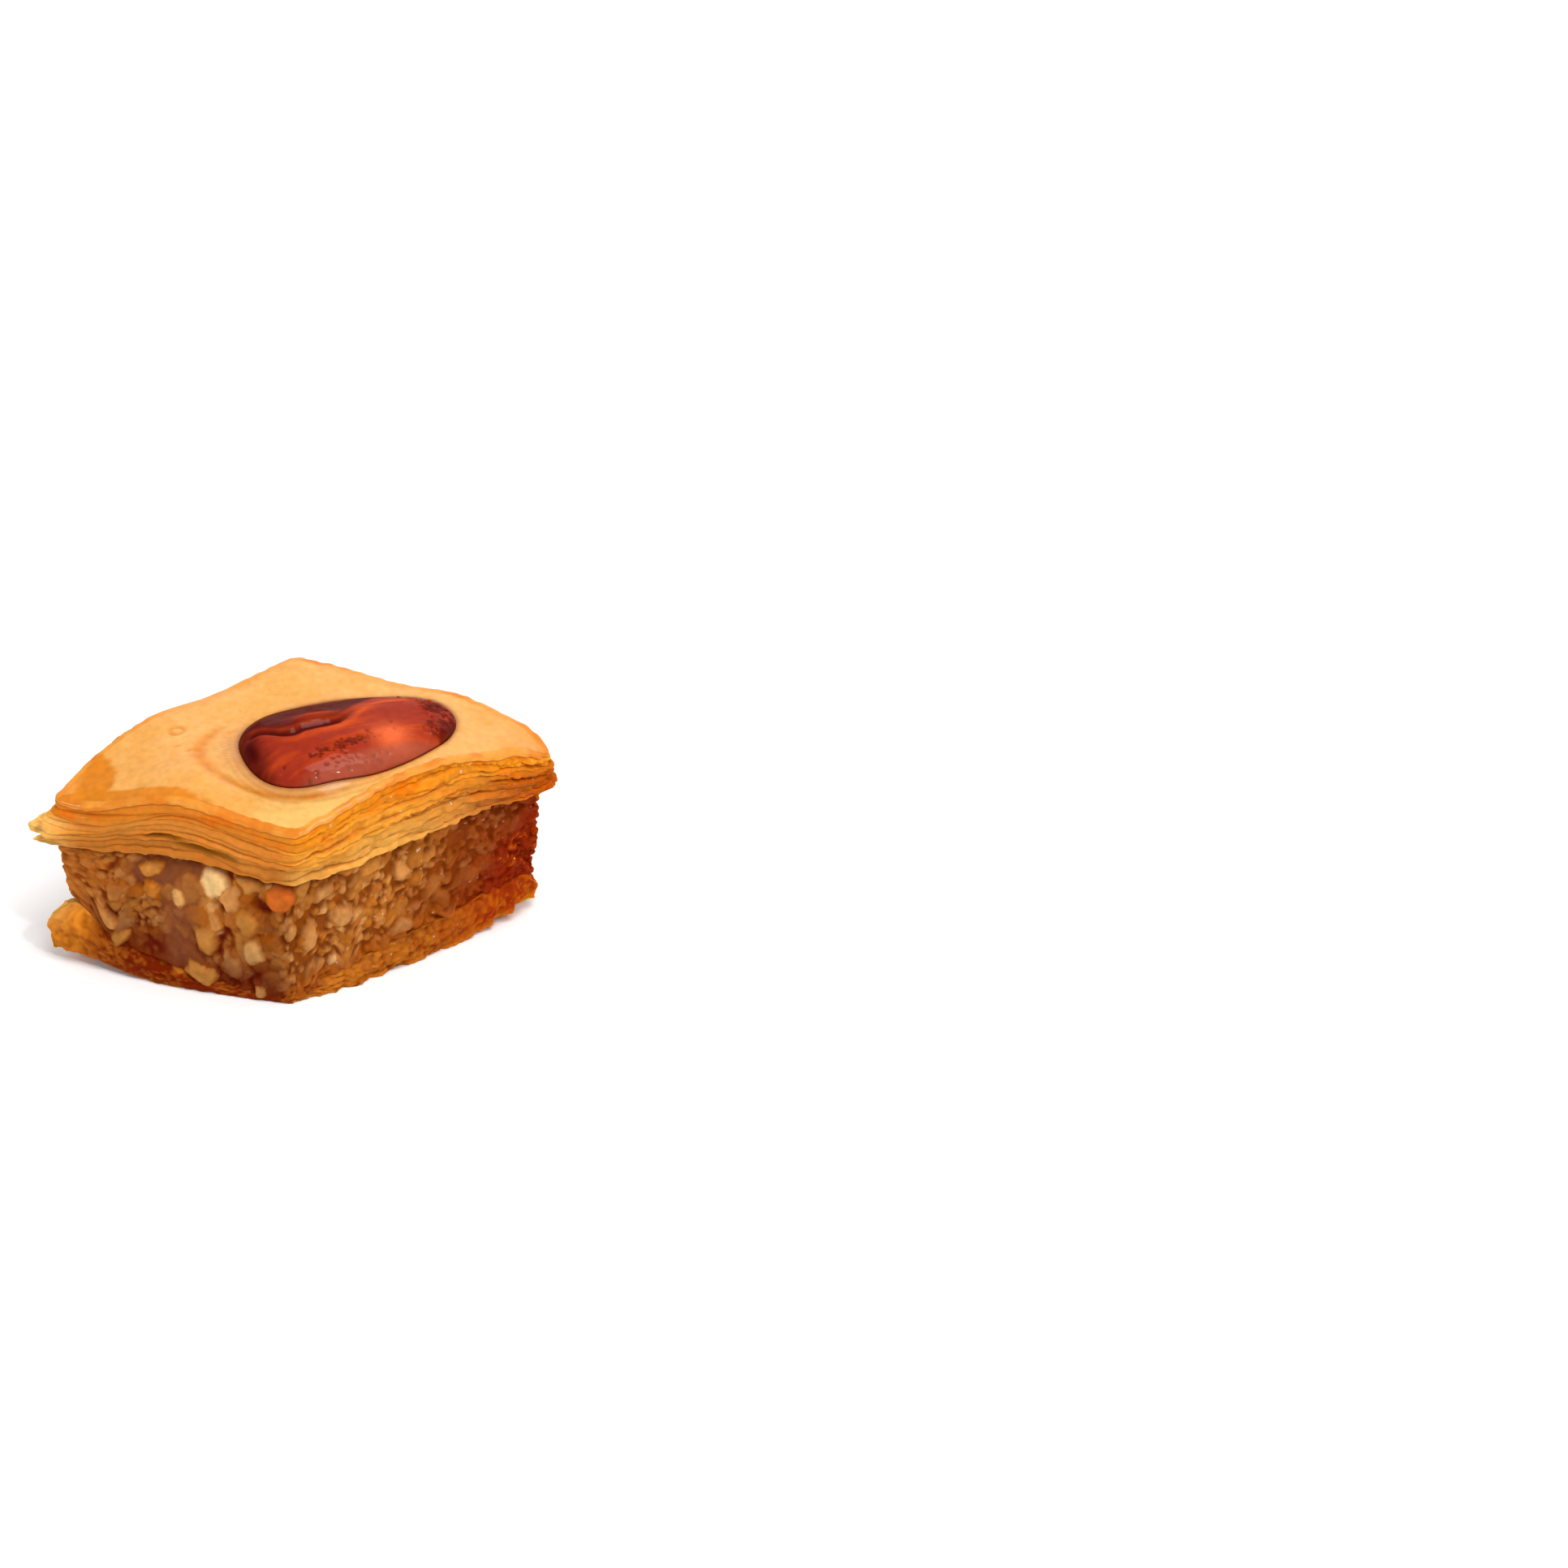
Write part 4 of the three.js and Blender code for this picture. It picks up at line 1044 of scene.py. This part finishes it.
def almond():
    angle = np.arange(ALMOND_AROUND) * 2 * math.pi / ALMOND_AROUND
    polar = (np.arange(ALMOND_ALONG) + 0.5) / ALMOND_ALONG * math.pi
    polar, around = np.meshgrid(polar, angle, indexing="ij")
    power = almond_power(-np.cos(polar), np.cos(around))
    along = -np.sign(np.cos(polar)) * np.abs(np.cos(polar)) ** (2.0 / power)
    radius = np.sin(polar) ** (2.0 / power)
    taper = 1 - ALMOND_BLUNT * along + ALMOND_FULL * along**2
    across = radius * np.cos(around)
    upper = smooth(-0.1, 0.3, np.sin(around))
    x = along * ALMOND_LENGTH / 2
    y = across * taper * ALMOND_WIDTH / 2
    wrinkle = open_layers(x * 0.25, y, 1.1, 911)
    fine = open_layers(x * 0.5, y, 0.4, 915)
    wander = 0.05 * open_layers(x, 0.4 * y, 2.6, 941)
    gap_line = 0.28 - 0.28 * smooth(-0.9, -0.5, along) + 0.5 * smooth(-0.15, 0.4, along) + wander
    gap = hump(across, gap_line, 0.07) * between(along, -0.98, -0.85, -0.15, 0.2)
    cleft = hump(along, -0.93 + wander, 0.09) * between(across, -0.45, 0.0, 0.1, 0.45)
    lobe = hump(along, -0.3, 0.2) * hump(across, 0.19 - 0.05 * along, 0.08)
    plateau = smooth(0.12, -0.05, across - gap_line) * smooth(-0.85, -0.55, across)
    pit = almond_pits(x, y)
    tip = smooth(0.62, 0.84, along + 0.15 * fine + 0.12 * np.abs(across))
    crust = tip * (0.6 + 0.9 * open_layers(x, y, 0.55, 925, 4))
    relief = 0.08 * wrinkle * (1 - 0.6 * plateau) + 0.02 * fine - 0.42 * gap - 0.28 * cleft
    relief += 0.30 * lobe - 0.13 * pit + 0.24 * crust - 0.15 * plateau * hump(across, -0.2, 0.3)
    up = radius * np.sin(around)
    z = up * taper * ALMOND_THICKNESS / 2 + relief * upper * smooth(0.0, 0.35, radius)
    cos, sin = math.cos(ALMOND_HEADING), math.sin(ALMOND_HEADING)
    points = np.stack([x * cos - y * sin, x * sin + y * cos, z], axis=2).reshape(-1, 3)
    end = ALMOND_LENGTH / 2 * np.array((cos, sin, 0.0))
    points = np.concatenate([points, [-end, end]]) + ALMOND_MIDDLE
    quads, triangles = ring_faces(ALMOND_ALONG, ALMOND_AROUND)
    streak = smooth(0.0, 0.6, open_layers(x * 0.14, y, 0.8, 931))
    bright = 0.4 * streak + 0.5 * hump(across, gap_line - 0.17, 0.06) * smooth(-0.8, -0.5, along)
    # A soft painted highlight on the almond's near side.
    glow = hump(along, 0.26, 0.17) * hump(across, -0.6, 0.26)
    behind = smooth(0.02, 0.16, across - gap_line) * (1 - lobe) * smooth(0.75, 0.3, along)
    blunt_end = smooth(-0.8, -0.97, along + 0.1 * wrinkle)
    dark = np.maximum.reduce([0.95 * gap, cleft, 0.85 * pit, 0.9 * behind, 0.8 * blunt_end])
    dark = np.maximum(dark, 0.8 * tip * smooth(-0.6, 0.2, open_layers(x, y, 0.6, 933)))
    colour = mix(ALMOND_RED, ALMOND_BRIGHT, bright)
    colour = mix(colour, ALMOND_DARK, dark)
    colour = mix(colour, ALMOND_HIGHLIGHT, 0.8 * glow)
    # A mauve band along the near lower edge: painted sheen of syrup.
    rim = smooth(-0.66, -0.86, across) * smooth(0.1, 0.5, np.sin(around) + 0.3)
    colour = mix(colour, ALMOND_RIM_SHEEN, 0.6 * rim)
    colour = np.concatenate([colour, [ALMOND_DARK, ALMOND_DARK]])
    # Darker where the almond sits in the leaf: painted contact shade.
    above_leaf = points[:, 2] - top_surface(points[:, 0], points[:, 1])
    colour = mix(colour, ALMOND_DARK, 0.85 * smooth(0.24, 0.08, above_leaf))
    return make_mesh("baklava_almond", points, quads, triangles, colour, np.ones(len(points)))


# -------------------- materials

DRY_ROUGHNESS = 0.5
SPECKLE = 0.8  # mm


def food_material(name, soaked, coat, coat_roughness, glow, reach, grain, depth, specular):
    """Tinted food under syrup: colour from the mesh, broken up by fine noise, light that
    soaks in over a reach, and a clear coat over grains of a size and depth, in mm.
    soaked is the roughness where the mesh says 1 wet."""
    material = bpy.data.materials.new(name)
    material.use_nodes = True
    tree = material.node_tree
    tree.nodes.clear()

    def node(kind, values=(), **settings):
        made = tree.nodes.new(kind)
        for setting, value in settings.items():
            setattr(made, setting, value)
        for socket, value in dict(values).items():
            made.inputs[socket].default_value = value
        return made

    output = node("ShaderNodeOutputMaterial")
    shader = node("ShaderNodeBsdfPrincipled", {
        "Coat Weight": coat,
        "Coat Roughness": coat_roughness,
        "Specular IOR Level": specular,
        "Subsurface Weight": glow,
        "Subsurface Scale": reach * MM,
        "Subsurface Radius": (1.0, 0.42, 0.12),
    })
    tint = node("ShaderNodeAttribute", attribute_name="tint")
    wet = node("ShaderNodeAttribute", attribute_name="wet")
    gloss = node("ShaderNodeMapRange", {"To Min": DRY_ROUGHNESS, "To Max": soaked})
    place = node("ShaderNodeTexCoord")
    speckle = node("ShaderNodeTexNoise", {"Scale": 1.0 / (SPECKLE * MM), "Detail": 6.0})
    contrast = {"From Min": 0.3, "From Max": 0.7, "To Min": 0.9, "To Max": 1.08}
    spread = node("ShaderNodeMapRange", contrast)
    tinted = node("ShaderNodeVectorMath", operation="SCALE")
    bumps = node("ShaderNodeTexNoise", {"Scale": 1.0 / (grain * MM), "Detail": 4.0})
    filled = node("ShaderNodeMapRange", {"To Min": 1.0, "To Max": 0.25})  # with syrup
    bump = node("ShaderNodeBump", {"Distance": depth * MM})
    for source, result, target, socket in (
        (shader, "BSDF", output, "Surface"),
        (wet, "Fac", gloss, "Value"),
        (gloss, "Result", shader, "Roughness"),
        (place, "Object", speckle, "Vector"),
        (speckle, "Fac", spread, "Value"),
        (tint, "Color", tinted, 0),
        (spread, "Result", tinted, "Scale"),
        (tinted, "Vector", shader, "Base Color"),
        (place, "Object", bumps, "Vector"),
        (wet, "Fac", filled, "Value"),
        (filled, "Result", bump, "Strength"),
        (bumps, "Fac", bump, "Height"),
        (bump, "Normal", shader, "Normal"),
        (bump, "Normal", shader, "Coat Normal"),
    ):
        tree.links.new(source.outputs[result], target.inputs[socket])
    return material


def dress(piece, material, node):
    piece.data.materials.append(material)
    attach(piece, "root")
    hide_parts(node)


# ------------ floor, light, camera

LIGHTS_AIM = Vector((0, 0, 0.012))
CAMERA_AIM = Vector((0.0563, 0.0202, 0.0))
CAMERA_AZIMUTH, CAMERA_PITCH = -10.0, 32.0  # degrees
CAMERA_DISTANCE = 0.620
FOCAL_SHARE = 6800.0 / 1932.0  # focal length in widths of the frame


def make_floor():
    bpy.ops.mesh.primitive_circle_add(vertices=96, radius=3.0, fill_type="NGON", location=(0, 0, 0))
    floor = bpy.context.object
    floor.name = "studio_floor"
    material = bpy.data.materials.new("floor_white")
    material.use_nodes = True
    shader = material.node_tree.nodes["Principled BSDF"]
    shader.inputs["Base Color"].default_value = (0.92, 0.92, 0.92, 1.0)
    shader.inputs["Roughness"].default_value = 0.6
    shader.inputs["Specular IOR Level"].default_value = 0.2
    floor.data.materials.append(material)


def aimed(name, data, target, azimuth, elevation, distance):
    """A light or a camera that looks at target. Azimuth 0 is in front of the piece."""
    thing = bpy.data.objects.new(name, data)
    bpy.context.scene.collection.objects.link(thing)
    a, e = math.radians(azimuth), math.radians(elevation)
    way = Vector((math.sin(a) * math.cos(e), -math.cos(a) * math.cos(e), math.sin(e)))
    thing.location = target + distance * way
    thing.rotation_euler = (-way).to_track_quat("-Z", "Y").to_euler()
    return thing


def area_light(name, azimuth, elevation, distance, width, height, radiance):
    """A soft box that faces the piece. radiance is how bright its face looks."""
    data = bpy.data.lights.new(name, "AREA")
    data.shape = "RECTANGLE"
    data.size, data.size_y = width, height
    data.energy = radiance * math.pi * width * height
    aimed(name, data, LIGHTS_AIM, azimuth, elevation, distance)


def make_lights():
    world = bpy.data.worlds.new("studio")
    bpy.context.scene.world = world
    world.use_nodes = True
    background = world.node_tree.nodes["Background"]
    background.inputs["Color"].default_value = (1.0, 1.0, 1.0, 1.0)
    background.inputs["Strength"].default_value = 0.45
    area_light("back_softbox", 149.0, 28.0, 0.9, 1.5, 0.75, 0.8)
    area_light("overhead", 32.0, 70.0, 0.9, 0.5, 0.5, 7.5)
    area_light("left_spark", -62.0, 38.0, 0.8, 0.03, 0.03, 260.0)
    area_light("right_spark", 28.0, 42.0, 0.8, 0.03, 0.03, 420.0)


def make_camera():
    data = bpy.data.cameras.new("camera")
    data.sensor_width = 36.0
    data.lens = 36.0 * FOCAL_SHARE
    data.clip_start = 0.01
    view = (CAMERA_AZIMUTH, CAMERA_PITCH, CAMERA_DISTANCE)
    bpy.context.scene.camera = aimed("camera", data, CAMERA_AIM, *view)


# ----------------------- the piece

# What makes a piece, the solid it replaces, and what food_material needs for it.
PIECES = (
    (top_leaf, "pastry_top", "glazed_leaf", 0.42, 0.4, 0.14, 0.3, 1.0, 0.6, 0.02, 0.1),
    (leaf_stack, "pastry_top", "leaf_edges", 0.35, 0.12, 0.05, 0.4, 1.2, 0.35, 0.07, 0.0),
    (nut_filling, "nut_filling", "nuts_in_paste", 0.3, 0.07, 0.05, 0.3, 0.7, 0.3, 0.06, 0.0),
    (bottom_pastry, "pastry_bottom", "soaked_pastry", 0.32, 0.06, 0.05, 0.4, 1.2, 0.3, 0.08, 0.0),
    (almond, "almond", "glazed_almond", 0.4, 0.16, 0.05, 0.25, 1.0, 0.6, 0.03, 0.0),
)

make_camera()
make_lights()
make_floor()
for build, node, *look in PIECES:
    dress(build(), food_material(*look), node)
bpy.context.scene.view_settings.view_transform = "Standard"
